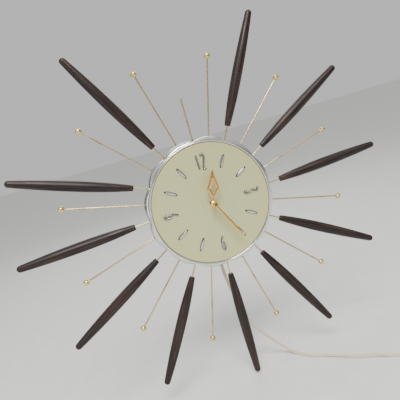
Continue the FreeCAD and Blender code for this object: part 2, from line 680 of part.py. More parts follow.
def make_spindle(hour):
    """A turned cigar: two long arcs that meet at the belly, and a rounded nose."""
    body = new_body("spindle_%02d" % hour)
    sketch = new_sketch(body, "XZ_Plane")
    inner_at = SIZE["spindle_start"] - rod_bend
    tip_at = SIZE["spindle_tip"] - rod_bend
    nose_at = tip_at - SIZE["spindle_outer"]
    belly_at = inner_at + SIZE["spindle_belly_at"] * (tip_at - inner_at)
    inner = (SIZE["spindle_inner"], inner_at)
    belly = (SIZE["spindle_belly"], belly_at)
    outer = (SIZE["spindle_outer"], nose_at)
    first = belly_centre(inner[0], inner[1], belly[0], belly[1])
    second = belly_centre(outer[0], outer[1], belly[0], belly[1])
    bore = SIZE["rod_radius"] + SIZE["rod_fit"]
    bore_end = SIZE["hour_rod_end"] - rod_bend
    low = add_arc(sketch, inner, belly, first)
    high = add_arc(sketch, belly, outer, second)
    nose = add_arc(sketch, outer, (0, tip_at), (0, nose_at))
    corners = [(0, tip_at), (0, bore_end), (bore, bore_end), (bore, inner_at), inner]
    lines = []
    for a, b in zip(corners, corners[1:]):
        line = Part.LineSegment(Vector(a[0], a[1], 0), Vector(b[0], b[1], 0))
        lines.append(sketch.addGeometry(line, False))
    chain = [low, high, nose] + lines
    for k, edge in enumerate(chain):
        follower = chain[(k + 1) % len(chain)]
        sketch.addConstraint(Sketcher.Constraint("Coincident", edge, 2, follower, 1))
    start = "(Sizes.spindle_start - %s)" % ROD_BEND
    tip = "(Sizes.spindle_tip - %s)" % ROD_BEND
    middle = "(%s + Sizes.spindle_belly_at * (%s - %s))" % (start, tip, start)
    shoulder = "(%s - Sizes.spindle_outer)" % tip
    depth = "(Sizes.hour_rod_end - %s)" % ROD_BEND
    pin_point(sketch, low, 1, "Sizes.spindle_inner", start, inner)
    pin_point(sketch, high, 1, "Sizes.spindle_belly", middle, belly)
    pin_point(sketch, nose, 1, "Sizes.spindle_outer", shoulder, outer)
    pin_point(sketch, lines[0], 1, "0", tip, corners[0])
    pin_point(sketch, lines[1], 1, "0", depth, corners[1])
    pin_point(sketch, lines[2], 1, "Sizes.rod_radius + Sizes.rod_fit", depth, corners[2])
    pin_point(sketch, lines[3], 1, "Sizes.rod_radius + Sizes.rod_fit", start, corners[3])
    for arc in (low, high):
        bind(sketch, Sketcher.Constraint("DistanceY", -1, 1, arc, 3, belly_at), middle)
    bind(sketch, Sketcher.Constraint("DistanceY", -1, 1, nose, 3, nose_at), shoulder)
    revolve(body, sketch)
    lean = LEANS.get(hour, 0)
    turn = Rotation(Vector(0, 1, 0), 30 * hour + lean)
    body.Placement = FreeCAD.Placement(Vector(0, 0, 0), turn)
    side = "%s * sin(%d deg)" % (ROD_BEND, 30 * hour)
    rise = "%s * cos(%d deg)" % (ROD_BEND, 30 * hour)
    return keep(below_hanger(body, side, RAY_PLANE, rise))


for spindle_hour in SPINDLE_HOURS:
    make_spindle(spindle_hour)

# ---------------------------------------------------------------- rear cover


def make_rear_cover():
    """A drum with a flange, a keyhole to hang it by, a knob window and a cord hole."""
    body = new_body("rear_cover")
    section = new_sketch(body, "XY_Plane")
    radius = "Sizes.cover_radius"
    wall = "Sizes.cover_wall"
    bevel = "Sizes.cover_bevel"
    flange = "(Sizes.cover_radius + Sizes.cover_flange)"
    depth = "Sizes.cover_depth"
    outline(section, [
        ("0", "0"), ("%s - %s" % (radius, bevel), "0"), (radius, "-(%s)" % bevel),
        (radius, "-(%s - %s)" % (depth, wall)), (flange, "-(%s - %s)" % (depth, wall)),
        (flange, "-" + depth), ("%s - %s" % (radius, wall), "-" + depth),
        ("%s - %s" % (radius, wall), "-(%s + 0.4 * %s)" % (bevel, wall)),
        ("%s - %s - 0.4 * %s" % (radius, bevel, wall), "-(%s)" % wall), ("0", "-(%s)" % wall),
    ])
    revolve(body, section)
    rise = "Sizes.hanger_rise"
    top = "(Sizes.hanger_rise + Sizes.keyhole_rise)"
    head = new_sketch(body, "XZ_Plane")
    circle(head, "0", rise, "Sizes.keyhole_radius")
    pocket(body, head, "2 * " + wall, reverse=True)
    slot = new_sketch(body, "XZ_Plane")
    outline(slot, [
        ("-Sizes.keyhole_slot", rise), ("Sizes.keyhole_slot", rise),
        ("Sizes.keyhole_slot", top), ("-Sizes.keyhole_slot", top),
    ])
    pocket(body, slot, "2 * " + wall, reverse=True)
    stop = new_sketch(body, "XZ_Plane")
    circle(stop, "0", top, "Sizes.keyhole_slot")
    pocket(body, stop, "2 * " + wall, reverse=True)
    window = new_sketch(body, "XZ_Plane")
    circle(window, "0", "0", "Sizes.knob_radius + Sizes.knob_reach")
    pocket(body, window, "2 * " + wall, reverse=True)
    cord = new_sketch(body, "XY_Plane")
    circle(cord, "Sizes.cord_side", "-Sizes.cord_out", "Sizes.cord_radius + 1.35")
    pocket(body, cord, radius + " + 1")
    screws = new_sketch(body, "XZ_Plane", "%s - 2 * %s" % (depth, wall))
    for side, up, bore in on_circle(COVER_SCREW_CIRCLE, COVER_SCREW_ANGLES, "Sizes.screw_radius"):
        circle(screws, side, up, bore)
    pocket(body, screws, "3 * " + wall, reverse=True)
    return keep(below_hanger(body))


make_rear_cover()


def screw(side, rise, seat, towards, grip):
    """A pan-head screw: its head sits on the far side of the seat from its tip."""
    along = FRONT * towards
    base = place(side, seat, rise)
    shank = Part.makeCylinder(SIZE["screw_radius"], grip, base, along)
    head = Part.makeCylinder(SIZE["screw_head"], SIZE["head_height"], base, along * -1)
    slot = Part.makeBox(2 * SIZE["screw_head"], 0.6, 0.7)
    slot.translate(Vector(-SIZE["screw_head"], -0.3, -0.35))
    slot.translate(base - along * SIZE["head_height"])
    return shank.fuse(head).cut(slot)


def screw_group(name, places, seat, towards, grip):
    add_shape(name, Part.makeCompound([screw(s, r, seat, towards, grip) for s, r in places]))


screw_group("ring_screws", [polar(ring_screw_circle, a) for a in RING_SCREW_ANGLES],
            mount_back, 1, SIZE["sheet_metal"] + SIZE["screw_grip"])
screw_group("cover_screws", [polar(cover_screw_circle, a) for a in COVER_SCREW_ANGLES],
            mount_back - SIZE["cover_wall"], 1, SIZE["cover_wall"] + 2 * SIZE["sheet_metal"])
screw_group("movement_screws", MOVEMENT_SCREWS, ring_back, -1, 2 * SIZE["sheet_metal"])

# ---------------------------------------------------------------- movement plates

minute_post = (0.0, SIZE["motion_centre"])
ARBOR_HOLE = "Sizes.arbor_radius + Sizes.running_fit"
PIVOT_HOLE = "Sizes.pivot_radius + Sizes.running_fit"
PILLARS = ((-24.0, 21.0), (24.0, 19.0), (26.0, -4.5))
PILLAR_RADIUS = 2.5
TENON_RADIUS = 1.3
POST_RADIUS = 0.9

# The plates are cut back at the sides below the shoulder; the rear one also leaves the coil free.
SHOULDER = -13
BOARD_TOP = [(-34, 26), (30, 26), (30, SHOULDER)]
BOARD_FOOT = [(BOARD_LEFT, BOARD_LOW), (BOARD_LEFT, SHOULDER), (-34, SHOULDER)]
COIL_SIDE = "(%s + %s + 0.5)" % (ROTOR[0], AROUND)
BOARD = BOARD_TOP + [(BOARD_RIGHT, SHOULDER), (BOARD_RIGHT, BOARD_LOW)] + BOARD_FOOT
REAR_BOARD = BOARD_TOP + [(COIL_SIDE, SHOULDER), (COIL_SIDE, BOARD_LOW)] + BOARD_FOOT
tenons = [(x, z, TENON_RADIUS) for x, z in PILLARS]
pivots = [("0", "0", ARBOR_HOLE), (INTERMEDIATE[0], INTERMEDIATE[1], PIVOT_HOLE)]
LAMINATION_SCREW_GAP = 3.2
LAMINATION_SCREW_ANGLES = (45, 135, 225)

front_board = flat_plate(
    "movement_front_plate", BOARD,
    pivots + tenons + [("0", "Sizes.motion_centre", POST_RADIUS)]
    + [(x, z, "Sizes.screw_radius") for x, z in MOVEMENT_SCREWS],
    FRONT_PLATE, "Sizes.sheet_metal",
)
keep(below_hanger(front_board))
rear_board = flat_plate(
    "movement_rear_plate", REAR_BOARD,
    pivots + tenons + [(ROTOR[0], ROTOR[1], BORE)]
    + [("%s + (%s + %g) * cos(%g deg)" % (ROTOR[0], BORE, LAMINATION_SCREW_GAP, a),
        "%s + (%s + %g) * sin(%g deg)" % (ROTOR[1], BORE, LAMINATION_SCREW_GAP, a),
        "Sizes.screw_radius * 0.8") for a in LAMINATION_SCREW_ANGLES],
    REAR_PLATE, "Sizes.sheet_metal",
)
keep(below_hanger(rear_board))


def pillar(side, rise):
    """A turned pillar with a tenon at each end, riveted through both plates."""
    waist = round_bar(place(side, rear_plate_face, rise), place(side, front_plate, rise),
                      PILLAR_RADIUS)
    return waist.fuse(round_bar(place(side, rear_plate, rise), place(side, mount_back, rise),
                                TENON_RADIUS))


add_shape("movement_pillars", Part.makeCompound([pillar(x, z) for x, z in PILLARS]))

# ---------------------------------------------------------------- gears

ADDENDUM = 0.85
DEDENDUM = 1.15
TOOTH_AT_TIP = 0.10
TOOTH_AT_ROOT = 0.29


def gear(teeth, module, thickness, first_tooth):
    """A spur wheel with straight-sided teeth; the angle of a tooth is anticlockwise from +X."""
    pitch_radius = teeth * module / 2
    tip = pitch_radius + ADDENDUM * module
    root = pitch_radius - DEDENDUM * module
    pitch = 2 * math.pi / teeth
    corners = []
    for k in range(teeth):
        middle = math.radians(first_tooth) + k * pitch
        for radius, share in ((root, -TOOTH_AT_ROOT), (tip, -TOOTH_AT_TIP),
                              (tip, TOOTH_AT_TIP), (root, TOOTH_AT_ROOT)):
            a = middle + share * pitch
            corners.append(Vector(radius * math.cos(a), 0, radius * math.sin(a)))
    corners.append(corners[0])
    return Part.Face(Part.makePolygon(corners)).extrude(FRONT * thickness)


def bored(solid, radius, thickness):
    return solid.cut(Part.makeCylinder(radius, thickness, Vector(0, 0, 0), FRONT))


def set_at(solid, side, out, rise):
    solid.translate(place(side, out, rise))
    return solid


def spoked(teeth, module, thickness, first_tooth, bore):
    """A wheel with four round lightening holes between its hub and its rim."""
    wheel = bored(gear(teeth, module, thickness, first_tooth), bore, thickness)
    pitch_radius = teeth * module / 2
    ring = (pitch_radius + bore) / 2
    hole = (pitch_radius - bore) * 0.27
    for k in range(4):
        a = math.pi / 2 * k + math.pi / 4
        centre = Vector(ring * math.cos(a), 0, ring * math.sin(a))
        wheel = wheel.cut(Part.makeCylinder(hole, thickness, centre, FRONT))
    return wheel


CENTRE_TEETH, INTERMEDIATE_PINION = 75, 10
INTERMEDIATE_TEETH, ROTOR_PINION = 80, 10
CANNON_TEETH, MINUTE_TEETH = 12, 36
MINUTE_PINION, HOUR_TEETH = 10, 40
centre_module = 2 * SIZE["centre_drive"] / (CENTRE_TEETH + INTERMEDIATE_PINION)
rotor_module = 2 * SIZE["rotor_drive"] / (INTERMEDIATE_TEETH + ROTOR_PINION)
minute_module = 2 * SIZE["motion_centre"] / (CANNON_TEETH + MINUTE_TEETH)
hour_module = 2 * SIZE["motion_centre"] / (MINUTE_PINION + HOUR_TEETH)
WHEEL = 1.2

# Between the plates, going back from the front plate.
INTERMEDIATE_IN = 2.0
CENTRE_IN = 4.5
intermediate_wheel_back = front_plate - INTERMEDIATE_IN
centre_wheel_back = front_plate - CENTRE_IN
# In front of the front plate: the motion work.
MOTION_GAP = 0.6
CANNON_LENGTH = 2.4
MINUTE_PINION_LENGTH = 3.0
HOUR_GAP = 0.5
cannon_back = mount_back + MOTION_GAP
minute_wheel_back = cannon_back + MOTION_GAP
hour_wheel_back = cannon_back + CANNON_LENGTH + HOUR_GAP

turned("centre_arbor", [
    ("0", "Sizes.knob_sink + 1"), ("Sizes.arbor_radius", "Sizes.knob_sink + 1"),
    ("Sizes.arbor_radius", CAP_FRONT + " - 2.2"), ("0", CAP_FRONT + " - 2.2"),
])

centre_wheel = spoked(CENTRE_TEETH, centre_module, WHEEL, DRIVE_ANGLE, SIZE["arbor_radius"])
add_shape("centre_wheel", set_at(centre_wheel, 0, centre_wheel_back, 0))

cannon = bored(gear(CANNON_TEETH, minute_module, CANNON_LENGTH, 90), SIZE["arbor_radius"],
               CANNON_LENGTH)
add_shape("cannon_pinion", set_at(cannon, 0, cannon_back, 0))


def make_minute_wheel():
    """The minute wheel with its pinion in front, on a post."""
    wheel = gear(MINUTE_TEETH, minute_module, 1.0, 270 + 180 / MINUTE_TEETH)
    pinion = gear(MINUTE_PINION, hour_module, MINUTE_PINION_LENGTH, 270)
    pinion.translate(FRONT)
    both = wheel.fuse(pinion)
    both = bored(both, POST_RADIUS + SIZE["running_fit"], 1.0 + MINUTE_PINION_LENGTH)
    return set_at(both, minute_post[0], minute_wheel_back, minute_post[1])


add_shape("minute_wheel", make_minute_wheel())


def make_minute_post():
    """A headed post riveted into the front plate."""
    head_back = minute_wheel_back + 1.0 + MINUTE_PINION_LENGTH + 0.2
    side, rise = minute_post
    post = round_bar(place(side, front_plate, rise), place(side, head_back, rise), POST_RADIUS)
    head = round_bar(place(side, head_back, rise), place(side, head_back + 0.6, rise), 1.6)
    collar_front = minute_wheel_back - 0.2
    collar = round_bar(place(side, mount_back, rise), place(side, collar_front, rise), 2.0)
    return post.fuse(head).fuse(collar)


add_shape("minute_post", make_minute_post())


def make_hour_wheel():
    """The hour wheel and the pipe that carries the hour hand."""
    wheel = gear(HOUR_TEETH, hour_module, 1.0, 90 + 180 / HOUR_TEETH)
    length = hour_hand + SIZE["hand_sheet"] - hour_wheel_back
    pipe = Part.makeCylinder(SIZE["pipe_radius"], length, Vector(0, 0, 0), FRONT)
    both = bored(wheel.fuse(pipe), SIZE["arbor_radius"] + SIZE["running_fit"], length)
    return set_at(both, 0, hour_wheel_back, 0)


add_shape("hour_wheel", make_hour_wheel())

intermediate_wheel = spoked(INTERMEDIATE_TEETH, rotor_module, WHEEL, ROTOR_ANGLE,
                            SIZE["pivot_radius"])
add_shape("intermediate_wheel",
          set_at(intermediate_wheel, intermediate[0], intermediate_wheel_back, intermediate[1]))


def make_intermediate_arbor():
    """The arbor between the plates with the pinion that drives the centre wheel."""
    first_tooth = DRIVE_ANGLE - 180 + 180 / INTERMEDIATE_PINION
    pinion = gear(INTERMEDIATE_PINION, centre_module, 2.4, first_tooth)
    pinion = set_at(pinion, intermediate[0], centre_wheel_back - 0.6, intermediate[1])
    shaft = round_bar(place(intermediate[0], rear_plate + 0.1, intermediate[1]),
                      place(intermediate[0], mount_back - 0.1, intermediate[1]),
                      SIZE["pivot_radius"])
    return pinion.fuse(shaft)


add_shape("intermediate_arbor", make_intermediate_arbor())

# ---------------------------------------------------------------- motor

capsule_front = intermediate_wheel_back - 3.8
capsule_back = rear_plate - 1.1
NOSE_LENGTH = 1.2
NOSE_RADIUS = 3.0


def make_capsule():
    """The sealed rotor capsule with a nose that its output shaft turns in."""
    side, rise = rotor
    can = round_bar(place(side, capsule_back, rise), place(side, capsule_front, rise),
                    SIZE["capsule_radius"])
    nose_tip = place(side, capsule_front + NOSE_LENGTH, rise)
    nose = round_bar(place(side, capsule_front, rise), nose_tip, NOSE_RADIUS)
    hole = round_bar(place(side, capsule_front - 3.0, rise), nose_tip,
                     SIZE["pivot_radius"] + SIZE["running_fit"])
    return can.fuse(nose).cut(hole)


add_shape("rotor_capsule", make_capsule())


def make_rotor_pinion():
    """The output shaft of the capsule with its pinion."""
    side, rise = rotor
    first_tooth = ROTOR_ANGLE - 180 + 180 / ROTOR_PINION
    pinion = gear(ROTOR_PINION, rotor_module, 2.2, first_tooth)
    pinion = set_at(pinion, side, intermediate_wheel_back - 0.5, rise)
    shaft = round_bar(place(side, capsule_front - 2.8, rise),
                      place(side, intermediate_wheel_back + 1.7, rise), SIZE["pivot_radius"])
    return pinion.fuse(shaft)


add_shape("rotor_pinion", make_rotor_pinion())


def block(sides, outs, rises):
    """A box between two sides, two distances out and two rises."""
    size = (sides[1] - sides[0], outs[1] - outs[0], rises[1] - rises[0])
    return Part.makeBox(size[0], size[1], size[2], Vector(sides[0], -outs[1], rises[0]))


WINDOW_RIM = 3.45
leg = (stack_sides[1] - SIZE["leg_width"], stack_sides[1])
stack_out = (rear_plate_face, rear_plate_face + SIZE["stack_depth"])
window_rises = (stack_rises[0] + WINDOW_RIM, stack_rises[1] - WINDOW_RIM)
lamination_screws = []
for angle in LAMINATION_SCREW_ANGLES:
    a = math.radians(angle)
    out_from_rotor = bore + LAMINATION_SCREW_GAP
    lamination_screws.append((rotor[0] + out_from_rotor * math.cos(a),
                              rotor[1] + out_from_rotor * math.sin(a)))


def make_laminations():
    """The stator stack: a bore for the capsule, a window, and a leg for the coil."""
    stack = block(stack_sides, stack_out, stack_rises)
    window_left = leg[0] - SIZE["window_width"]
    stack = stack.cut(block((window_left, leg[0]), stack_out, window_rises))
    stack = stack.cut(round_bar(place(rotor[0], stack_out[0], rotor[1]),
                                place(rotor[0], stack_out[1], rotor[1]), bore))
    for side, rise in lamination_screws:
        hole = round_bar(place(side, stack_out[0], rise), place(side, stack_out[1], rise),
                         SIZE["screw_radius"] * 0.8)
        stack = stack.cut(hole)
    return stack


add_shape("stator_laminations", make_laminations())


def lamination_screw(side, rise):
    shank = round_bar(place(side, rear_plate, rise), place(side, stack_out[1], rise),
                      SIZE["screw_radius"] * 0.8)
    head = round_bar(place(side, stack_out[1], rise), place(side, stack_out[1] + 1.2, rise), 2.0)
    return shank.fuse(head)


add_shape("lamination_screws",
          Part.makeCompound([lamination_screw(x, z) for x, z in lamination_screws]))

COIL_WALL = 0.9
FLANGE_HALF = 9.3
WINDING_HALF = 8.7
LEG_FIT = 0.1
half_leg = (SIZE["leg_width"] / 2 + LEG_FIT, SIZE["stack_depth"] / 2 + LEG_FIT)
coil_middle = ((leg[0] + leg[1]) / 2, (stack_out[0] + stack_out[1]) / 2)
coil_rises = (window_rises[0] + 0.2, window_rises[1] - 0.3)


def coil_block(half_side, half_out, rises):
    return block((coil_middle[0] - half_side, coil_middle[0] + half_side),
                 (coil_middle[1] - half_out, coil_middle[1] + half_out), rises)


def make_bobbin():
    """A square tube on the leg with a flange at each end."""
    tube = coil_block(half_leg[0] + COIL_WALL, half_leg[1] + COIL_WALL, coil_rises)
    low = coil_block(FLANGE_HALF, FLANGE_HALF, (coil_rises[0], coil_rises[0] + COIL_WALL))
    high = coil_block(FLANGE_HALF, FLANGE_HALF, (coil_rises[1] - COIL_WALL, coil_rises[1]))
    return tube.fuse(low).fuse(high).cut(coil_block(half_leg[0], half_leg[1], coil_rises))


add_shape("coil_bobbin", make_bobbin())


def make_winding():
    rises = (coil_rises[0] + COIL_WALL, coil_rises[1] - COIL_WALL)
    solid = coil_block(WINDING_HALF, WINDING_HALF, rises)
    return solid.cut(coil_block(half_leg[0] + COIL_WALL, half_leg[1] + COIL_WALL, rises))


add_shape("coil_winding", make_winding())

KNURLS = 24
knob = gear(KNURLS, 2 * SIZE["knob_radius"] / (KNURLS + 2 * ADDENDUM), SIZE["knob_length"], 0)
knob = bored(knob, SIZE["arbor_radius"], SIZE["knob_length"])
add_shape("set_knob", set_at(knob, 0, SIZE["knob_sink"], 0))

# ---------------------------------------------------------------- cord

cord_radius = SIZE["cord_radius"]
surface = -SIZE["spindle_tip"] - SIZE["surface_drop"]
lying = surface + cord_radius


def make_strain_relief():
    """A bush through the drum wall with a long tapered sleeve below it."""
    side, out = SIZE["cord_side"], SIZE["cord_out"]
    wall_out = math.sqrt(SIZE["cover_radius"] ** 2 - (side + 5.5) ** 2)
    inside = SIZE["cover_radius"] - SIZE["cover_wall"]
    wall_in = math.sqrt(inside ** 2 - (abs(side) + 5.5) ** 2)
    down = Vector(0, 0, -1)
    flange_in = Part.makeCylinder(5.5, 1.2, place(side, out, -wall_in + 1.5), down)
    neck = Part.makeCylinder(cord_radius + 1.2, wall_out - wall_in + 2.5,
                             place(side, out, -wall_in + 1.5), down)
    flange_out = Part.makeCylinder(5.5, 1.4, place(side, out, -wall_out - 0.3), down)
    sleeve_top = wall_out + 1.5
    sleeve = Part.makeCone(cord_radius + 1.9, cord_radius + 0.6, SIZE["relief_end"] - sleeve_top,
                           place(side, out, -sleeve_top), down)
    return flange_in.fuse(neck).fuse(flange_out).fuse(sleeve)


add_shape("strain_relief", make_strain_relief())

# The route of the cord as it falls behind the lowest ray and runs out along the surface:
# side, distance out of the wall, and rise from the arbor.
CORD_ROUTE = [
    (-7.0, 17.0, -70.0), (-7.0, 17.0, -98.0), (-6.2, 17.6, -135.0), (1.5, 17.4, -178.0),
    (11.5, 17.2, -218.0), (31.0, 17.0, -254.0), (54.0, 16.0, -284.0), (73.0, 20.0, lying),
    (86.0, 42.0, lying), (109.0, 65.0, lying), (131.0, 81.0, lying), (147.0, 99.0, lying),
    (163.0, 108.0, lying), (185.0, 124.0, lying), (205.0, 137.5, lying), (219.0, 148.6, lying),
    (232.2, 156.5, lying),
]


def round_route(points):
    """Straight runs joined by tangent arcs, each as large as its two runs allow."""
    corners = [place(*p) for p in points]
    edges = []
    radii = []
    here = corners[0]
    for before, corner, after in zip(corners, corners[1:], corners[2:]):
        arrive = (corner - before).normalize()
        leave = (after - corner).normalize()
        shorter = min((corner - before).Length, (after - corner).Length)
        turn = arrive.getAngle(leave)
        back = 0.45 * shorter
        radius = back / math.tan(turn / 2)
        radii.append(radius)
        first = corner - arrive * back
        last = corner + leave * back
        bulge = (leave - arrive).normalize() * (radius / math.cos(turn / 2) - radius)
        edges.append(Part.LineSegment(here, first).toShape())
        edges.append(Part.Arc(first, corner + bulge, last).toShape())
        here = last
    edges.append(Part.LineSegment(here, corners[-1]).toShape())
    return Part.Wire(edges), radii


def cord_tube(route):
    path, radii = round_route(route)
    start = place(*route[0])
    heading = place(*route[1]) - start
    section = Part.Wire(Part.makeCircle(cord_radius, start, heading))
    tube = path.makePipeShell([section], True, False)
    expected = math.pi * cord_radius ** 2 * path.Length
    print("cord radii", ", ".join("%.0f" % r for r in radii))
    print("cord length %.1f, volume %.0f of %.0f" % (path.Length, tube.Volume, expected))
    return tube


add_shape("power_cord", cord_tube(CORD_ROUTE))

# The spare cord lies flat, in three layers of three turns.
TURNS = 3
coil_half = TURNS * cord_radius
coil_height = TURNS * SIZE["cord_thickness"]
coil_bottom = surface + SIZE["tie_sheet"]


def make_cord_coil():
    centre = place(SIZE["coil_side"], SIZE["coil_out"], coil_bottom)
    up = Vector(0, 0, 1)
    outer = Part.makeCylinder(SIZE["coil_radius"] + coil_half, coil_height, centre, up)
    inner = Part.makeCylinder(SIZE["coil_radius"] - coil_half, coil_height, centre, up)
    return outer.cut(inner)


add_shape("cord_coil", make_cord_coil())

TIE_WIDTH = 6.0
TIE_ANGLE = 60.0
TIE_SLACK = 0.35


def make_tie():
    """A flat band once round the turns of the coil."""
    radius = SIZE["coil_radius"]
    half = coil_half + TIE_SLACK
    wall = SIZE["tie_sheet"]
    outer = Part.makeBox(2 * (half + wall), TIE_WIDTH, coil_height + 2 * wall,
                         Vector(radius - half - wall, -TIE_WIDTH / 2, 0))
    inner = Part.makeBox(2 * half, TIE_WIDTH, coil_height,
                         Vector(radius - half, -TIE_WIDTH / 2, wall))
    band = outer.cut(inner)
    band.rotate(Vector(0, 0, 0), Vector(0, 0, 1), TIE_ANGLE)
    band.translate(place(SIZE["coil_side"], SIZE["coil_out"], surface))
    return band


add_shape("coil_tie", make_tie())

# The last turn leaves the top of the coil towards the wall, down to the plug lying there.
PLUG_WIDTH, PLUG_HEIGHT, PLUG_LENGTH = 20.0, 14.0, 26.0
PLUG_TAIL = 14.0
BLADE = (1.5, 17.0, 6.3)
BLADE_PITCH = 12.7
outer_turn = SIZE["coil_radius"] + 2 * cord_radius
plug_side = SIZE["coil_side"] + outer_turn
plug_rise = surface + PLUG_HEIGHT / 2
tail_out = SIZE["coil_out"] - SIZE["plug_away"]
plug_back_out = tail_out - PLUG_TAIL
plug_front_out = plug_back_out - PLUG_LENGTH


LEAVE_OUT = 12.0
END_RUN = 9.0
end_rise = coil_bottom + coil_height - cord_radius
add_shape("cord_end", cord_tube([
    (plug_side, SIZE["coil_out"] - LEAVE_OUT, end_rise),
    (plug_side, SIZE["coil_out"] - LEAVE_OUT - END_RUN, end_rise),
    (plug_side, tail_out + END_RUN, plug_rise), (plug_side, tail_out, plug_rise),
]))


def make_plug():
    """A moulded two-pin plug body with a tapered tail."""
    body = block((plug_side - PLUG_WIDTH / 2, plug_side + PLUG_WIDTH / 2),
                 (plug_front_out, plug_back_out), (surface, surface + PLUG_HEIGHT))
    upright = [e for e in body.Edges if abs(e.BoundBox.YLength - PLUG_LENGTH) < 0.01]
    body = body.makeFillet(4.0, upright)
    tail = Part.makeCone(cord_radius + 0.7, 5.5, PLUG_TAIL, place(plug_side, tail_out, plug_rise),
                         Vector(0, 1, 0))
    return body.fuse(tail)


add_shape("plug_body", make_plug())


def make_blades():
    blades = []
    for shift in (-BLADE_PITCH / 2, BLADE_PITCH / 2):
        middle = plug_side + shift
        sides = (middle - BLADE[0] / 2, middle + BLADE[0] / 2)
        outs = (plug_front_out - BLADE[1], plug_front_out)
        rises = (plug_rise - BLADE[2] / 2, plug_rise + BLADE[2] / 2)
        blades.append(block(sides, outs, rises))
    return Part.makeCompound(blades)


add_shape("plug_blades", make_blades())

# ---------------------------------------------------------------- checks and files

doc.recompute()
for thing in doc.Objects:
    if "Invalid" in thing.State or "Error" in thing.State:
        raise RuntimeError("%s did not compute: %s" % (thing.Name, thing.State))
for piece in sub_parts:
    if piece.Shape.isNull() or not piece.Shape.isValid() or not piece.Shape.Solids:
        raise RuntimeError("%s has no valid solid" % piece.Label)

os.makedirs("parts", exist_ok=True)
for piece in sub_parts:
    piece.Shape.exportStep("parts/%s.step" % piece.Label)
print("wrote %d sub-parts" % len(sub_parts))
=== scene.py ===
# Sunburst wall clock: the looks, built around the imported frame.
# Metres, in the frame of the clock: +X to three o'clock, +Z to twelve, -Y out of the wall.
import json
import math

import bmesh
import bpy
import numpy as np
from mathutils import Matrix, Vector


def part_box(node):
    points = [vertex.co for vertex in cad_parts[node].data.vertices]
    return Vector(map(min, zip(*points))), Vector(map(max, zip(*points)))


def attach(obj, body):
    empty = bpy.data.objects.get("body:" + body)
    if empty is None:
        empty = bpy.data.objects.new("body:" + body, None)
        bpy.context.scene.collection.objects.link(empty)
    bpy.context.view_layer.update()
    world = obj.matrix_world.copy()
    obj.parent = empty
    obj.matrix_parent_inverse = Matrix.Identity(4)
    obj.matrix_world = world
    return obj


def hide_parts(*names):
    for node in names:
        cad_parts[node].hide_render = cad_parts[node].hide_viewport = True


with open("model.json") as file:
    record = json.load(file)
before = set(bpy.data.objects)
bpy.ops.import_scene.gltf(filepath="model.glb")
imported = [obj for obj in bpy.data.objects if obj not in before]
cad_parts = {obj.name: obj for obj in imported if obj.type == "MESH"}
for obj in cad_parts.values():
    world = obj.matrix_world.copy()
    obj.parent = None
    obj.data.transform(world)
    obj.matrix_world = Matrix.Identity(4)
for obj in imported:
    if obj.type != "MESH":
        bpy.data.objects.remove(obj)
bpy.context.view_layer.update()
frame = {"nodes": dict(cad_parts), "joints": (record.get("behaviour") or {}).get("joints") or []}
mm = 0.001
jointOf = {j["name"]: j for j in frame["joints"]}
arbor = np.array(jointOf["minute_turn"]["pos_m"])  # the hand arbor; its x and z are used
print("frame loaded:", len(frame["nodes"]), "nodes")


def place(side, out, rise):
    # millimetres from the hand arbor and out of the wall, to metres in the frame
    side, out, rise = np.broadcast_arrays(side, out, rise)
    return np.stack([side * mm + arbor[0], -out * mm, rise * mm + arbor[2]], axis=-1)


def polar(radius, clockAngle):
    # side and rise of a point at an angle clockwise from twelve
    turn = np.radians(clockAngle)
    return radius * np.sin(turn), radius * np.cos(turn)


def turnedPlace(clockAngle, along, across, out):
    # from the arbor along a line turned clockwise from twelve, across it and out of the wall
    c, d = math.cos(math.radians(clockAngle)), math.sin(math.radians(clockAngle))
    return place(along * d + across * c, out, along * c - across * d)


def outOf(node):
    # how far a node's front stands out of the wall, in millimetres
    low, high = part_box(node)
    return -low.y / mm


def addObject(name, data):
    # puts new data into the scene
    holder = bpy.data.objects.new(name, data)
    bpy.context.scene.collection.objects.link(holder)
    return holder


# Camera: low and to the left of the clock, rolled as the clock leans in its view.

cameraSetup = {"place": (-0.13811, -0.67259, 0.08510), "aim": (-0.01460, -0.03520, -0.02172),
               "roll": 16.187, "lens": 37.43, "sensor": 36.0}


def makeCamera(setup):
    # the camera looks from its place to its aim, then turns about that line by the roll
    data = bpy.data.cameras.new("camera")
    data.lens = setup["lens"]
    data.sensor_width = setup["sensor"]
    data.clip_start, data.clip_end = 0.01, 50
    camera = addObject("camera", data)
    forward = Vector(setup["aim"]) - Vector(setup["place"])
    level = forward.to_track_quat("-Z", "Y").to_matrix().to_4x4()
    camera.matrix_world = (Matrix.Translation(setup["place"]) @ level
                           @ Matrix.Rotation(math.radians(-setup["roll"]), 4, "Z"))
    bpy.context.scene.camera = camera


makeCamera(cameraSetup)

# Surfaces: a shell is its points, its four-sided faces and its three-sided faces.


def gridShell(points, ring=False):
    # points[row, column]: neighbours make faces, and columns close on themselves; so do rows in a
    # ring, and otherwise the first and the last row are each closed by a fan about their middle
    rows, columns = points.shape[:2]
    index = np.arange(rows * columns).reshape(rows, columns)
    after = np.roll(index, -1, axis=1)
    low, lowAfter = (index, after) if ring else (index[:-1], after[:-1])
    high, highAfter = (np.roll(m, -1, axis=0) if ring else m[1:] for m in (index, after))
    quads = np.stack([low, lowAfter, highAfter, high], axis=-1).reshape(-1, 4)
    verts = points.reshape(-1, 3)
    if ring:
        return facingOut(verts, quads, np.zeros((0, 3), int))
    foot, head = np.full(columns, rows * columns), np.full(columns, rows * columns + 1)
    tris = np.vstack([np.stack([after[0], index[0], foot], axis=-1),
                      np.stack([index[-1], after[-1], head], axis=-1)])
    return facingOut(np.vstack([verts, points[0].mean(axis=0), points[-1].mean(axis=0)]), quads, tris)


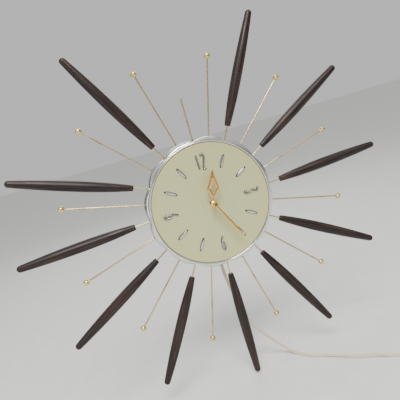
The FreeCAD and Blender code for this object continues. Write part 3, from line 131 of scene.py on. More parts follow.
def facingOut(verts, quads, tris):
    # a closed shell has a positive volume when its faces point outwards; else it is turned round
    both = np.vstack([quads[:, [0, 1, 2]], quads[:, [0, 2, 3]], tris])
    a, b, c = (verts[both[:, k]] - verts.mean(axis=0) for k in range(3))
    if np.einsum("ij,ij->i", a, np.cross(b, c)).sum() < 0:
        quads, tris = quads[:, ::-1], tris[:, ::-1]
    return verts, quads, tris


def pieceFrom(name, shells, finishName, replaces=(), body="case", slotName=None, sharp=40, lasting=None):
    # joins the shells into one mesh at the origin; slotName is not used; lasting is a vector kept
    # at each point
    start, verts, faces = 0, [], []
    for shellVerts, quads, tris in shells:
        verts.append(shellVerts)
        faces += (quads + start).tolist() + (tris + start).tolist()
        start += len(shellVerts)
    mesh = bpy.data.meshes.new(name)
    mesh.from_pydata(np.vstack(verts).tolist(), [], faces)
    if lasting is not None:
        kept = mesh.attributes.new("turned", "FLOAT_VECTOR", "POINT")
        kept.data.foreach_set("vector", np.vstack(lasting).astype(np.float32).ravel())
    work = bmesh.new()
    work.from_mesh(mesh)
    bmesh.ops.remove_doubles(work, verts=work.verts, dist=1e-7)
    work.to_mesh(mesh)
    work.free()
    mesh.shade_smooth()
    mesh.set_sharp_from_angle(angle=math.radians(sharp))
    mesh.materials.append(made[finishName])
    piece = addObject(name, mesh)
    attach(piece, body)
    slotName or "".join("_" + c.lower() if c.isupper() else c for c in finishName)
    if replaces:
        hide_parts(*replaces)
    return piece


def fullTurn(count):
    # angles once round, in radians, the last one short of the first
    return np.linspace(0, 2 * np.pi, count, endpoint=False)


def turnedShell(profile, foot, axis, around=48):
    # profile rows are (distance along the axis, radius), turned about the axis from the foot
    axis = np.array(axis, float) / np.linalg.norm(axis)
    across = np.cross(axis, [0, 1, 0] if abs(axis[1]) < 0.9 else [1, 0, 0])
    across /= np.linalg.norm(across)
    up = np.cross(axis, across)
    turn = fullTurn(around)
    circle = np.cos(turn)[:, None] * across + np.sin(turn)[:, None] * up
    along, radius = np.array(profile, float).T
    points = foot + (along[:, None, None] * axis + radius[:, None, None] * circle) * mm
    return gridShell(points)


def smoothLine(points, samples):
    # a smooth line through the points, each span a cubic whose slopes come from its neighbours
    p = np.array(points, float)
    padded = np.vstack([2 * p[0] - p[1], p, 2 * p[-1] - p[-2]])
    where = np.linspace(0, len(p) - 1, samples)
    span = np.minimum(where.astype(int), len(p) - 2)
    u = (where - span)[:, None]
    a, b, c, d = (padded[span + k] for k in range(4))
    return 0.5 * (2 * b + (c - a) * u + (2 * a - 5 * b + 4 * c - d) * u ** 2
                  + (3 * b - a - 3 * c + d) * u ** 3)


def distanceAlong(line):
    # how far each point of a line is from its start, along it
    return np.concatenate([[0], np.cumsum(np.linalg.norm(np.diff(line, axis=0), axis=1))])


def slopesOf(line):
    # unit direction of a line at each of its points
    step = np.gradient(line, axis=0)
    return step / np.linalg.norm(step, axis=1)[:, None]

# Shader groups: each gives a mask from 0 to 1, or a mixed colour, that changes over the surface.


def newGroup(name, inputs, outputs):
    # a shader group from its inputs (label, kind, default) and outputs (label, kind)
    tree = bpy.data.node_groups.new(name, "ShaderNodeTree")
    for label, kind, default in inputs:
        socket = tree.interface.new_socket(label, in_out="INPUT", socket_type="NodeSocket" + kind)
        if default is not None:
            socket.default_value = default
    for label, kind in outputs:
        tree.interface.new_socket(label, in_out="OUTPUT", socket_type="NodeSocket" + kind)
    entry = tree.nodes.new("NodeGroupInput")
    leave = tree.nodes.new("NodeGroupOutput")
    return tree, entry.outputs, leave.inputs


def feed(tree, socket, value):
    # a value that is itself a socket is linked; a number or colour is set
    if isinstance(value, bpy.types.NodeSocket):
        tree.links.new(value, socket)
    else:
        socket.default_value = value


def addNode(tree, kind, settings=(), **sockets):
    # adds a node and feeds its sockets, by name, or by number as n0, n1, n2
    node = tree.nodes.new("ShaderNode" + kind)
    for key, value in dict(settings).items():
        setattr(node, key, value)
    for key, value in sockets.items():
        numbered = key[0] == "n" and key[1:].isdigit()
        feed(tree, node.inputs[int(key[1:]) if numbered else key], value)
    return node


def mathNode(tree, operation, *values, clamp=False):
    # one sum on up to three values
    sockets = {"n%d" % order: value for order, value in enumerate(values)}
    return addNode(tree, "Math", {"operation": operation, "use_clamp": clamp}, **sockets).outputs[0]


def spanNode(tree, value, low=0.0, high=1.0, start=0.0, end=1.0, soft=False):
    # carries the span from low to high over to start to end, by a straight line or a soft curve
    kind = "SMOOTHSTEP" if soft else "LINEAR"
    ends = {"From Min": low, "From Max": high, "To Min": start, "To Max": end}
    return addNode(tree, "MapRange", {"interpolation_type": kind}, Value=value, **ends).outputs["Result"]


def noiseNode(tree, where, scale, detail):
    # a noise at a place, from 0 to 1
    return addNode(tree, "TexNoise", {}, Vector=where, Scale=scale, Detail=detail).outputs["Fac"]


def makeGrainGroup():
    # noise at a place stretched by a vector, its middle range opened out to 0..1
    tree, given, out = newGroup("fineGrain", [
        ("Vector", "Vector", None), ("Stretch", "Vector", (1, 1, 1)), ("Scale", "Float", 500.0),
        ("Detail", "Float", 4.0), ("Low", "Float", 0.35), ("High", "Float", 0.65)], [("Mask", "Float")])
    drawn = addNode(tree, "VectorMath", {"operation": "MULTIPLY"},
                    n0=given["Vector"], n1=given["Stretch"])
    noise = noiseNode(tree, drawn.outputs[0], given["Scale"], given["Detail"])
    feed(tree, out["Mask"], spanNode(tree, noise, given["Low"], given["High"], soft=True))
    return tree


def makeDustGroup():
    # dust lies where the surface faces up, broken up by a soft noise
    tree, given, out = newGroup("dustFall", [
        ("Vector", "Vector", None), ("Scale", "Float", 90.0), ("Amount", "Float", 0.3)],
        [("Mask", "Float")])
    facing = addNode(tree, "NewGeometry")
    parts = addNode(tree, "SeparateXYZ", {}, Vector=facing.outputs["Normal"])
    level = spanNode(tree, parts.outputs["Z"], 0.2)
    both = mathNode(tree, "MULTIPLY", level, noiseNode(tree, given["Vector"], given["Scale"], 5.0))
    feed(tree, out["Mask"], mathNode(tree, "MULTIPLY", both, given["Amount"], clamp=True))
    return tree


def makeRadiusGroup():
    # the distance from the arbor's line, in metres
    tree, given, out = newGroup("arborRadius", [("Vector", "Vector", None)], [("Radius", "Float")])
    centred = addNode(tree, "VectorMath", {"operation": "MULTIPLY_ADD"}, n0=given["Vector"],
                      n1=(1, 0, 1), n2=(-arbor[0], 0, -arbor[2]))
    length = addNode(tree, "VectorMath", {"operation": "LENGTH"}, n0=centred.outputs[0])
    feed(tree, out["Radius"], length.outputs["Value"])
    return tree


def makeFootShadeGroup():
    # painted shade and dark reflection low down, at a piece's foot: 1 at one distance out of the wall, 0
    # at the other, in millimetres
    tree, given, out = newGroup("paintedFootShade", [
        ("Vector", "Vector", None), ("Foot", "Float", 0.0), ("Clear", "Float", 1.0)],
        [("Mask", "Float")])
    parts = addNode(tree, "SeparateXYZ", {}, Vector=given["Vector"])
    standing = mathNode(tree, "MULTIPLY", parts.outputs["Y"], -1 / mm)
    noise = noiseNode(tree, given["Vector"], 700.0, 3.0)
    uneven = mathNode(tree, "MULTIPLY_ADD", noise, 0.3, standing)
    feed(tree, out["Mask"], spanNode(tree, uneven, given["Foot"], given["Clear"], 1.0, 0.0, soft=True))
    return tree


grainGroup, dustGroup = makeGrainGroup(), makeDustGroup()
radiusGroup, footShadeGroup = makeRadiusGroup(), makeFootShadeGroup()


def linear(colour):
    # a screen colour from 0 to 1, to the light it stands for
    c = np.array(colour, float)
    return (*np.where(c <= 0.04045, c / 12.92, ((c + 0.055) / 1.055) ** 2.4), 1.0)


def fromGroup(tree, group, output="Mask", **sockets):
    # one output of a group placed in a material
    return addNode(tree, "Group", {"node_tree": group}, **sockets).outputs[output]


def mixColour(tree, mask, a, b):
    # the first colour where the mask is 0, the second where it is 1
    return addNode(tree, "Mix", {"data_type": "RGBA"}, n0=mask, n6=a, n7=b).outputs[2]


def newMaterial(name, source):
    # an empty material, its node tree, its shader, and the place that its patterns are read at
    material = bpy.data.materials.new(name)
    material.use_nodes = True
    tree = material.node_tree
    if source == "turned":
        where = addNode(tree, "Attribute", {"attribute_name": source}).outputs["Vector"]
    else:
        where = addNode(tree, "TexCoord").outputs[source]
    return material, tree, tree.nodes["Principled BSDF"], where


def finish(tree, shader, colour, rough, height, strength, depth):
    # feeds a shader its colour, its roughness and a bump of the given depth in millimetres
    feed(tree, shader.inputs["Base Color"], colour)
    feed(tree, shader.inputs["Roughness"], rough)
    bump = addNode(tree, "Bump", {}, Height=height, Strength=strength, Distance=depth * mm)
    feed(tree, shader.inputs["Normal"], bump.outputs[0])


patchShape = {"scale": 22.0, "low": 0.5, "high": 0.72, "rougher": 0.1}
dustTone = (0.62, 0.60, 0.56)


def makeMaterial(name, look):
    # colour runs between two tones with the grain, then to a third with the patches, then dust;
    # roughness and a bump follow the grain
    material, tree, shader, where = newMaterial(name, "Object")
    light, dark, patched = (linear(tone) for tone in look["tones"])
    grain = fromGroup(tree, grainGroup, Vector=where, Stretch=look.get("stretch", (1, 1, 1)),
                      Scale=look["scale"], Detail=look.get("detail", 4.0))
    patches = fromGroup(tree, grainGroup, Vector=where,
                        Scale=look.get("patchScale", patchShape["scale"]), Detail=5.0,
                        Low=patchShape["low"], High=patchShape["high"])
    colour = mixColour(tree, patches, mixColour(tree, grain, light, dark), patched)
    dust = fromGroup(tree, dustGroup, Vector=where, Amount=look.get("dust", 0.15))
    colour = mixColour(tree, dust, colour, linear(dustTone))
    # painted shade and dark reflection near a piece's foot, for the looks that have it
    if "paintedShade" in look:
        foot, clear, tone = look["paintedShade"]
        low = fromGroup(tree, footShadeGroup, Vector=where, Foot=foot, Clear=clear)
        colour = mixColour(tree, low, colour, linear(tone))
    rough = spanNode(tree, grain, start=look["rough"][0], end=look["rough"][1])
    rough = mathNode(tree, "MULTIPLY_ADD", patches, patchShape["rougher"], rough, clamp=True)
    finish(tree, shader, colour, rough, grain, look["bump"], look.get("bumpDepth", 0.02))
    shader.inputs["Metallic"].default_value = look.get("metallic", 0.0)
    return material


# Tones are the light grain, the dark grain and the patches, as screen colours; a further row gives where
# a painted shade and dark reflection at a piece's foot is full and where it is gone, in mm out of the
# wall, and its tone.
looks = {
    # the bezel's skirt takes a painted shade and dark reflection towards its back edge
    "bezelChrome": {"tones": [(0.90, 0.90, 0.89), (0.84, 0.84, 0.83), (0.80, 0.78, 0.73)],
        "metallic": 1.0, "rough": (0.10, 0.17), "scale": 400, "stretch": (1, 0.2, 1), "bump": 0.06,
        "paintedShade": (37.4, 46.0, (0.27, 0.26, 0.25))},
    # the marks take a painted shade and dark reflection round their feet
    "markChrome": {"tones": [(0.93, 0.93, 0.92), (0.88, 0.88, 0.87), (0.84, 0.82, 0.77)],
        "metallic": 1.0, "rough": (0.10, 0.16), "scale": 900, "bump": 0.03,
        "paintedShade": (49.1, 49.6, (0.27, 0.27, 0.24))},
    "handGilt": {"tones": [(0.95, 0.79, 0.47), (0.89, 0.71, 0.39), (0.82, 0.62, 0.33)],
        "metallic": 1.0, "rough": (0.18, 0.30), "scale": 1500, "stretch": (1, 1, 0.3), "bump": 0.08},
    "capRouge": {"tones": [(0.56, 0.37, 0.21), (0.49, 0.30, 0.17), (0.42, 0.26, 0.15)],
        "metallic": 0.7, "rough": (0.30, 0.42), "scale": 1800, "bump": 0.1},
    "ringAluminium": {"tones": [(0.80, 0.80, 0.80), (0.70, 0.70, 0.71), (0.62, 0.61, 0.59)],
        "metallic": 1.0, "rough": (0.28, 0.42), "scale": 300, "stretch": (0.15, 4, 0.15),
        "bump": 0.15},
    "rodBrass": {"tones": [(0.86, 0.79, 0.57), (0.77, 0.69, 0.46), (0.62, 0.53, 0.34)],
        "metallic": 1.0, "rough": (0.20, 0.32), "scale": 700, "patchScale": 60.0, "bump": 0.08},
    "ballBrass": {"tones": [(0.93, 0.85, 0.58), (0.87, 0.79, 0.50), (0.70, 0.60, 0.37)],
        "metallic": 1.0, "rough": (0.12, 0.20), "scale": 900, "patchScale": 120.0, "bump": 0.04},
    "plateSteel": {"tones": [(0.62, 0.62, 0.60), (0.54, 0.54, 0.53), (0.47, 0.45, 0.40)],
        "metallic": 0.9, "rough": (0.38, 0.55), "scale": 160, "detail": 8.0, "bump": 0.15,
        "dust": 0.3},
    "coverPaint": {"tones": [(0.15, 0.15, 0.15), (0.10, 0.10, 0.10), (0.19, 0.18, 0.17)],
        "metallic": 0.0, "rough": (0.42, 0.62), "scale": 900, "detail": 2.0, "bump": 0.9,
        "bumpDepth": 0.12, "dust": 0.5},
    "screwSteel": {"tones": [(0.72, 0.72, 0.71), (0.62, 0.62, 0.61), (0.52, 0.49, 0.44)],
        "metallic": 1.0, "rough": (0.25, 0.40), "scale": 1200, "bump": 0.1},
    "movementBrass": {"tones": [(0.80, 0.66, 0.40), (0.72, 0.58, 0.33), (0.58, 0.45, 0.26)],
        "metallic": 1.0, "rough": (0.30, 0.45), "scale": 500, "stretch": (0.1, 1, 3), "bump": 0.15},
    "wheelBrass": {"tones": [(0.85, 0.70, 0.42), (0.77, 0.62, 0.35), (0.62, 0.48, 0.28)],
        "metallic": 1.0, "rough": (0.22, 0.35), "scale": 900, "bump": 0.1},
    "capsuleAluminium": {"tones": [(0.82, 0.82, 0.81), (0.74, 0.74, 0.74), (0.64, 0.63, 0.60)],
        "metallic": 1.0, "rough": (0.25, 0.38), "scale": 500, "stretch": (1, 0.1, 1), "bump": 0.1},
    "laminationSteel": {"tones": [(0.42, 0.42, 0.43), (0.28, 0.28, 0.29), (0.36, 0.28, 0.22)],
        "metallic": 0.9, "rough": (0.35, 0.55), "scale": 700, "stretch": (0.02, 3, 0.02), "bump": 0.5,
        "bumpDepth": 0.08},
    "bobbinPlastic": {"tones": [(0.88, 0.85, 0.76), (0.84, 0.80, 0.70), (0.80, 0.74, 0.60)],
        "rough": (0.40, 0.52), "scale": 700, "bump": 0.12},
    "windingTape": {"tones": [(0.58, 0.16, 0.11), (0.48, 0.11, 0.07), (0.40, 0.10, 0.06)],
        "rough": (0.38, 0.50), "scale": 260, "stretch": (0.2, 0.2, 6), "bump": 0.4, "bumpDepth": 0.1},
    "knobPlastic": {"tones": [(0.07, 0.07, 0.07), (0.04, 0.04, 0.04), (0.11, 0.10, 0.10)],
        "rough": (0.22, 0.36), "scale": 600, "bump": 0.1, "dust": 0.4},
    "cordPlastic": {"tones": [(0.86, 0.82, 0.72), (0.82, 0.77, 0.66), (0.76, 0.70, 0.57)],
        "rough": (0.42, 0.55), "scale": 500, "patchScale": 40.0, "bump": 0.15, "dust": 0.25},
    "tiePlastic": {"tones": [(0.16, 0.16, 0.16), (0.11, 0.11, 0.11), (0.20, 0.19, 0.18)],
        "rough": (0.40, 0.55), "scale": 800, "bump": 0.3},
    "bladeBrass": {"tones": [(0.86, 0.74, 0.46), (0.78, 0.66, 0.40), (0.62, 0.50, 0.32)],
        "metallic": 1.0, "rough": (0.24, 0.36), "scale": 900, "stretch": (1, 0.1, 1), "bump": 0.12},
}
# the numerals take a darker painted shade and dark reflection round their feet
looks["numeralChrome"] = dict(looks["markChrome"], paintedShade=(49.5, 50.0, (0.17, 0.17, 0.15)))
made = {name: makeMaterial(name, look) for name, look in looks.items()}


# Each grain row is its squeeze along the spindle, its scale, its detail and the span opened out.
walnutLook = {"broad": (0.05, 170.0, 6.0, 0.30, 0.70), "streaks": (0.03, 620.0, 5.0, 0.38, 0.62),
              "pores": (0.045, 2600.0, 2.0, 0.60, 0.72),
              "pale": ((0.25, 0.172, 0.145), (0.095, 0.067, 0.06)),
              "deep": ((0.19, 0.13, 0.11), (0.055, 0.04, 0.036)),
              "pore": (0.06, 0.045, 0.04), "dust": 0.04, "dustTone": (0.55, 0.50, 0.48),
              "rough": (0.36, 0.50), "poreDepth": -0.8, "bump": 0.45, "bumpDepth": 0.06}


def makeWalnut(look):
    # streaks and pores drawn out along the spindle: noises at a place squeezed along the turning axis
    material, tree, shader, where = newMaterial("spindleWalnut", "turned")
    broad, streaks, pores = (
        fromGroup(tree, grainGroup, Vector=where, Stretch=(1, 1, squeeze), Scale=scale, Detail=detail,
                  Low=low, High=high)
        for squeeze, scale, detail, low, high in (look["broad"], look["streaks"], look["pores"]))
    pale = mixColour(tree, broad, *map(linear, look["pale"]))
    deep = mixColour(tree, streaks, *map(linear, look["deep"]))
    colour = mixColour(tree, streaks, pale, deep)
    colour = mixColour(tree, pores, colour, linear(look["pore"]))
    dust = fromGroup(tree, dustGroup, Vector=where, Amount=look["dust"])
    colour = mixColour(tree, dust, colour, linear(look["dustTone"]))
    rough = spanNode(tree, streaks, start=look["rough"][0], end=look["rough"][1])
    depth = mathNode(tree, "MULTIPLY_ADD", pores, look["poreDepth"], streaks)
    finish(tree, shader, colour, rough, depth, look["bump"], look["bumpDepth"])
    shader.inputs["Specular IOR Level"].default_value = 0.3
    shader.inputs["Coat Weight"].default_value = 0.05
    shader.inputs["Coat Roughness"].default_value = 0.3
    return material


enamelLook = {"brushed": ((0.785, 0.80, 0.60), (0.765, 0.78, 0.58)), "cloud": (0.79, 0.785, 0.585),
              "edge": (0.795, 0.78, 0.56), "edgeFrom": 0.070, "edgeTo": 0.099,  # metres from the arbor
              # the line band is a painted shadow in the gap where the dial meets the bezel
              "line": (0.30, 0.30, 0.26), "lineFrom": 0.0940, "lineTo": 0.0951,
              "rough": (0.34, 0.42), "bump": 0.12, "bumpDepth": 0.01}


def makeDialEnamel(look):
    # a pale green lacquer over brushed metal: faint upright brushing, warmer near the edge, and a
    # painted shadow line where the dial meets the bezel
    material, tree, shader, where = newMaterial("dialEnamel", "Object")
    brushed = fromGroup(tree, grainGroup, Vector=where, Stretch=(1, 1, 0.02), Scale=900.0, Detail=3.0)
    cloudy = fromGroup(tree, grainGroup, Vector=where, Scale=16.0, Detail=4.0, Low=0.3, High=0.7)
    radius = fromGroup(tree, radiusGroup, "Radius", Vector=where)
    colour = mixColour(tree, brushed, *map(linear, look["brushed"]))
    colour = mixColour(tree, cloudy, colour, linear(look["cloud"]))
    # the edge band is a warmer tone; the line band is a painted shadow at the rim
    for band in ("edge", "line"):
        near = spanNode(tree, radius, look[band + "From"], look[band + "To"], soft=True)
        colour = mixColour(tree, near, colour, linear(look[band]))
    rough = spanNode(tree, brushed, start=look["rough"][0], end=look["rough"][1])
    finish(tree, shader, colour, rough, brushed, look["bump"], look["bumpDepth"])
    shader.inputs["Metallic"].default_value = 0.35
    shader.inputs["Coat Weight"].default_value = 0.15
    shader.inputs["Coat Roughness"].default_value = 0.25
    return material


made["spindleWalnut"] = makeWalnut(walnutLook)
made["dialEnamel"] = makeDialEnamel(enamelLook)
print("materials made:", len(made))

# Cord first: its route, read back from the smooth line, then a flat two-core section along it.

floorRise = -0.338
cordShape = {"width": 5.3, "thickness": 3.4, "coreGap": 1.9, "across": 28,
             "lieBelow": -0.24, "lieOver": 0.085,  # rise where it begins to lie flat, and over how far
             "flips": ((0.285, 0.345), (0.36, 0.43))}  # where it turns over, in metres from the exit
cordRoute = [
    (-0.0070, -0.0170, -0.1000), (-0.0070, -0.0170, -0.1280), (-0.0062, -0.0176, -0.1650),
    (0.0015, -0.0174, -0.2080), (0.0115, -0.0172, -0.2480), (0.0310, -0.0170, -0.2840),
    (0.0540, -0.0160, -0.3140), (0.0730, -0.0200, -0.3363), (0.0860, -0.0420, -0.3363),
    (0.1090, -0.0650, -0.3363), (0.1310, -0.0810, -0.3363), (0.1470, -0.0990, -0.3363),
    (0.1630, -0.1080, -0.3363), (0.1850, -0.1240, -0.3363), (0.2050, -0.1375, -0.3363),
    (0.2190, -0.1486, -0.3363), (0.2322, -0.1565, -0.3355),
]
coilShape = {"middle": (0.263, -0.136), "bottom": 0.8, "turns": 6.344, "perTurn": 16, "enterAt": 124.0,
             "swell": 1.017,  # the smooth line runs inside its points by this much
             "radiusAt": ((0, 34.3), (0.75, 34.3), (1, 29), (1.75, 29), (2, 23.7), (3.25, 23.7),
                          (3.5, 29), (4.25, 29), (4.5, 34.3), (5.8, 34.3), (6, 29)),
             "layerAt": ((2.55, 0), (2.75, 1), (5.05, 1), (5.25, 2))}
cordTail = [
    (0.2926, -0.1270, 2.3), (0.2937, -0.1210, 3.5), (0.2950, -0.1150, 3.5), (0.2962, -0.1080, 2.2),
    (0.2970, -0.1010, 0.2), (0.2973, -0.0960, -0.9), (0.2973, -0.0920, -0.9),
]  # the last number is a height over the middle of the coil's top layer, in millimetres


def coilTurns(shape, thickness):
    # radius and layer are read off their tables by turns made; the angle falls from where it enters
    wound = np.arange(1, round(shape["turns"] * shape["perTurn"]) + 1) / shape["perTurn"]
    turn = np.radians(shape["enterAt"] - 360 * wound)
    radius = np.interp(wound, *np.array(shape["radiusAt"]).T) * shape["swell"] * mm
    layer = np.interp(wound, *np.array(shape["layerAt"]).T)
    rise = floorRise + (shape["bottom"] + thickness * (layer + 0.5)) * mm
    return np.stack([shape["middle"][0] + radius * np.cos(turn),
                     shape["middle"][1] - radius * np.sin(turn), rise], axis=-1)


def smoothPath(name, points, steps=6):
    # the points steer a NURBS spline, and its own points come back as the path
    curve = bpy.data.curves.new(name, "CURVE")
    curve.dimensions = "3D"
    curve.resolution_u = steps
    spline = curve.splines.new("NURBS")
    spline.points.add(len(points) - 1)
    spline.points.foreach_set("co", np.column_stack([points, np.ones(len(points))]).ravel())
    spline.order_u = 3
    spline.use_endpoint_u = True
    holder = bpy.data.objects.new(name, curve)
    read = bpy.data.meshes.new_from_object(holder)
    path = np.empty(3 * len(read.vertices), np.float32)
    read.vertices.foreach_get("co", path)
    bpy.data.objects.remove(holder)
    bpy.data.curves.remove(curve)
    bpy.data.meshes.remove(read)
    return path.reshape(-1, 3).astype(float)


def swept(line, facing, outline, grow=None):
    # each outline point is (across, up) in mm: across lies square to the line and the facing, and
    # grow scales the outline at each point of the line
    ahead = slopesOf(line)
    across = np.cross(ahead, facing)
    across /= np.linalg.norm(across, axis=1)[:, None]
    up = np.cross(across, ahead)
    size = np.ones((len(line), 1)) if grow is None else np.reshape(grow, (-1, 1))
    wide, high = np.array(outline, float).T
    points = (line[:, None] + (size * wide)[..., None] * across[:, None] * mm
              + (size * high)[..., None] * up[:, None] * mm)
    return gridShell(points)


def twinOutline(shape):
    # two round cores side by side: two circles, each kept where it lies outside the other
    radius, shift = shape["thickness"] / 2, shape["coreGap"] / 2
    reach = np.pi - np.arccos(shift / radius)
    turn = np.linspace(-reach, reach, shape["across"] // 2, endpoint=False)
    right = np.stack([shift + radius * np.cos(turn), radius * np.sin(turn)], axis=-1)
    return np.vstack([right, -right])


def makeCord(shape):
    # the path is the route, the coil and the tail; its flat side faces out of the wall as it hangs,
    # and turns to face up as it comes to lie
    coil = coilTurns(coilShape, shape["thickness"])
    topLayer = coilShape["layerAt"][-1][1]
    level = floorRise + (coilShape["bottom"] + shape["thickness"] * (topLayer + 0.5)) * mm
    tail = [(x, y, level + height * mm) for x, y, height in cordTail]
    path = smoothPath("cordLine", np.vstack([cordRoute, coil, tail]))
    lying = np.clip((shape["lieBelow"] - path[:, 2]) / shape["lieOver"], 0, 1)
    lying = (lying ** 2 * (3 - 2 * lying))[:, None]
    facing = (1 - lying) * np.array([0, -1.0, 0]) + lying * np.array([0, 0, 1.0])
    gone = distanceAlong(path)
    # over each flip it rolls by half a turn, and stands as much higher as its edge is wide
    share = sum(np.clip((gone - a) / (b - a), 0, 1) for a, b in shape["flips"])
    roll = np.pi * (share - np.sin(2 * np.pi * share) / (2 * np.pi))
    sideways = np.cross(slopesOf(path), facing)
    rolled = facing * np.cos(roll)[:, None] + sideways * np.sin(roll)[:, None]
    lift = np.abs(np.sin(roll)) * (shape["width"] - shape["thickness"]) / 2 * mm
    raised = path + lift[:, None] * np.array([0, 0, 1.0]) * lying
    shell = swept(raised, rolled, twinOutline(shape))
    print("cord line %.3f m, %d points" % (gone[-1], len(path)))
    piece = pieceFrom("mains_cord", [shell], "cordPlastic", ("power_cord", "cord_coil", "cord_end"),
                      sharp=60)
    return piece, path


mainsCord, cordPath = makeCord(cordShape)

reliefShape = {"side": -7.0, "out": 17.0, "top": -41.7, "taperFrom": (6.6, 4.5), "taperTo": (28.0, 3.3),
               "ribsFrom": 8.2, "ribs": 7, "ribPitch": 3.0, "ribLand": 0.6, "ribDepth": 0.55,
               "bush": ((0, 4.9), (0.15, 5.35), (0.4, 5.5), (0.9, 5.5), (1.2, 5.2), (1.2, 3.85),
                        (4.6, 3.85), (4.6, 5.2), (4.85, 5.5), (5.7, 5.5), (6.0, 5.3), (6.1, 4.9)),
               "end": ((28.25, 3.15), (28.3, 2.9))}


def grooves(along, start, end, pitch):
    # rises and falls by a cosine, once in each pitch, between the start and the end
    wave = 0.5 - 0.5 * np.cos(2 * np.pi * (along - start) / pitch)
    return np.where((along > start) & (along < end), wave, 0)


def makeRelief(shape):
    # turned about the hanging cord: a bush through the wall, then a taper with ribs cut round it
    down = np.linspace(shape["taperFrom"][0], shape["taperTo"][0], 108)
    taper = np.interp(down, *zip(shape["taperFrom"], shape["taperTo"]))
    ribsTo = shape["ribsFrom"] + shape["ribs"] * shape["ribPitch"] - shape["ribLand"]
    cut = grooves(down, shape["ribsFrom"], ribsTo, shape["ribPitch"]) ** 2
    sleeve = np.column_stack([down, taper - shape["ribDepth"] * cut])
    foot = place(shape["side"], shape["out"], shape["top"])
    shell = turnedShell(np.vstack([shape["bush"], sleeve, shape["end"]]), foot, (0, 0, -1), around=56)
    return pieceFrom("cord_relief", [shell], "cordPlastic", ("strain_relief",))


plugShape = {"side": 297.3, "tailOut": 94.0, "halfHeight": 7.0, "around": 72,
             "at": (0, 14, 15.2, 18.5, 38.8, 39.6, 40),  # sections from the tail to the front
             "halfWidths": (3.4, 5.5, 8.0, 10, 10, 9.6, 8.8),
             "halfHeights": (3.4, 5.4, 6.3, 7, 7, 6.7, 6.0),
             "ribs": (2, 12, 2.5), "ribDepth": 0.6, "grips": (20.0, 34.0, 2.3), "gripDepth": 0.7}


def makePlug(shape):
    # sections along the plug: rounded boxes |x/a|^n + |z/b|^n = 1, with n = 2 (round) at the tail
    # and 4.2 at the body; ribs are cut round the tail, and grips in the sides of the body
    s = np.concatenate([np.linspace(0, 14, 60), np.linspace(14.2, 18.5, 22),
                        np.linspace(19, 38.6, 100), np.linspace(38.8, 40, 8)])
    ribs = grooves(s, *shape["ribs"]) ** 2 * shape["ribDepth"]
    half = np.interp(s, shape["at"], shape["halfWidths"]) - ribs
    half = half - grooves(s, *shape["grips"]) * shape["gripDepth"]
    high = np.interp(s, shape["at"], shape["halfHeights"]) - ribs
    power = np.interp(s, (0, 14, 18.5), (2.0, 2.0, 4.2))[:, None]
    turn = fullTurn(shape["around"])
    c, d = np.cos(turn), np.sin(turn)
    reach = (np.abs(c) ** power + np.abs(d) ** power) ** (-1 / power)
    middle = floorRise + shape["halfHeight"] * mm
    points = np.stack([(shape["side"] + half[:, None] * reach * c) * mm,
                       (s[:, None] - shape["tailOut"]) * mm + 0 * c,
                       middle + high[:, None] * reach * d * mm], axis=-1)
    return pieceFrom("plug_shell", [gridShell(points)], "cordPlastic", ("plug_body",))


tieShape = {"angle": 60.0, "radius": 29.0, "halfWide": 8.7, "bottom": 0.4, "top": 11.4, "width": 6.0,
            "thickness": 0.8, "square": 5}


def makeTie(shape):
    # a band round the turns: a loop |r|^5 + |z|^5 = 1 in the plane that cuts across them, with a
    # thin bevelled section
    turn = fullTurn(96)
    power = shape["square"]
    reach = (np.abs(np.cos(turn)) ** power + np.abs(np.sin(turn)) ** power) ** (-1 / power)
    halfHigh = (shape["top"] - shape["bottom"]) / 2
    radial = shape["radius"] + shape["halfWide"] * reach * np.cos(turn)
    rise = shape["bottom"] + halfHigh * (1 + reach * np.sin(turn))
    a = math.radians(shape["angle"])
    middle = coilShape["middle"]
    line = np.stack([middle[0] + radial * mm * math.cos(a), middle[1] - radial * mm * math.sin(a),
                     floorRise + rise * mm], axis=-1)
    along = np.array([math.sin(a), math.cos(a), 0])
    ahead = np.roll(line, -1, axis=0) - np.roll(line, 1, axis=0)
    ahead /= np.linalg.norm(ahead, axis=1)[:, None]
    out = np.cross(ahead, along)
    section = np.array([(-1, -0.5), (-1, 0.5), (-0.9, 1), (0.9, 1), (1, 0.5), (1, -0.5), (0.9, -1),
                        (-0.9, -1)]) * (shape["width"] / 2, shape["thickness"] / 2) * mm
    points = line[:, None] + section[:, :1] * along + section[:, 1:] * out[:, None]
    return pieceFrom("coil_band", [gridShell(points, ring=True)], "tiePlastic", ("coil_tie",))


cordRelief = makeRelief(reliefShape)
plugShell = makePlug(plugShape)
coilBand = makeTie(tieShape)
print("cord, plug, band and strain relief made")

# Floor and light: a pale floor, one large soft light above and to the left, two fainter ones.


def makeStage():
    # one wide flat square at the level that the cord lies on
    mesh = bpy.data.meshes.new("floor")
    half = 20.0
    corners = [(x * half, y * half, floorRise) for x, y in ((-1, -1), (1, -1), (1, 1), (-1, 1))]
    mesh.from_pydata(corners, [], [(0, 1, 2, 3)])
    floor = addObject("floor", mesh)
    mesh.materials.append(makeMaterial("paleFloor", {
        "tones": [(0.86, 0.86, 0.85), (0.85, 0.85, 0.84), (0.87, 0.87, 0.86)], "rough": (0.75, 0.85),
        "scale": 40, "bump": 0.02, "dust": 0.0}))


def makeLight(name, size, power, spot, aim, tint=(1, 1, 1)):
    # a soft rectangle of light at its spot, turned to its aim
    data = bpy.data.lights.new(name, "AREA")
    data.shape = "RECTANGLE"
    data.size, data.size_y = size
    data.energy = power
    data.color = tint
    light = addObject(name, data)
    light.location = spot
    light.rotation_euler = (Vector(aim) - Vector(spot)).to_track_quat("-Z", "Y").to_euler()


roomLook = {"span": (-0.1, 0.8), "low": 0.18, "high": 0.85, "seen": 0.62}


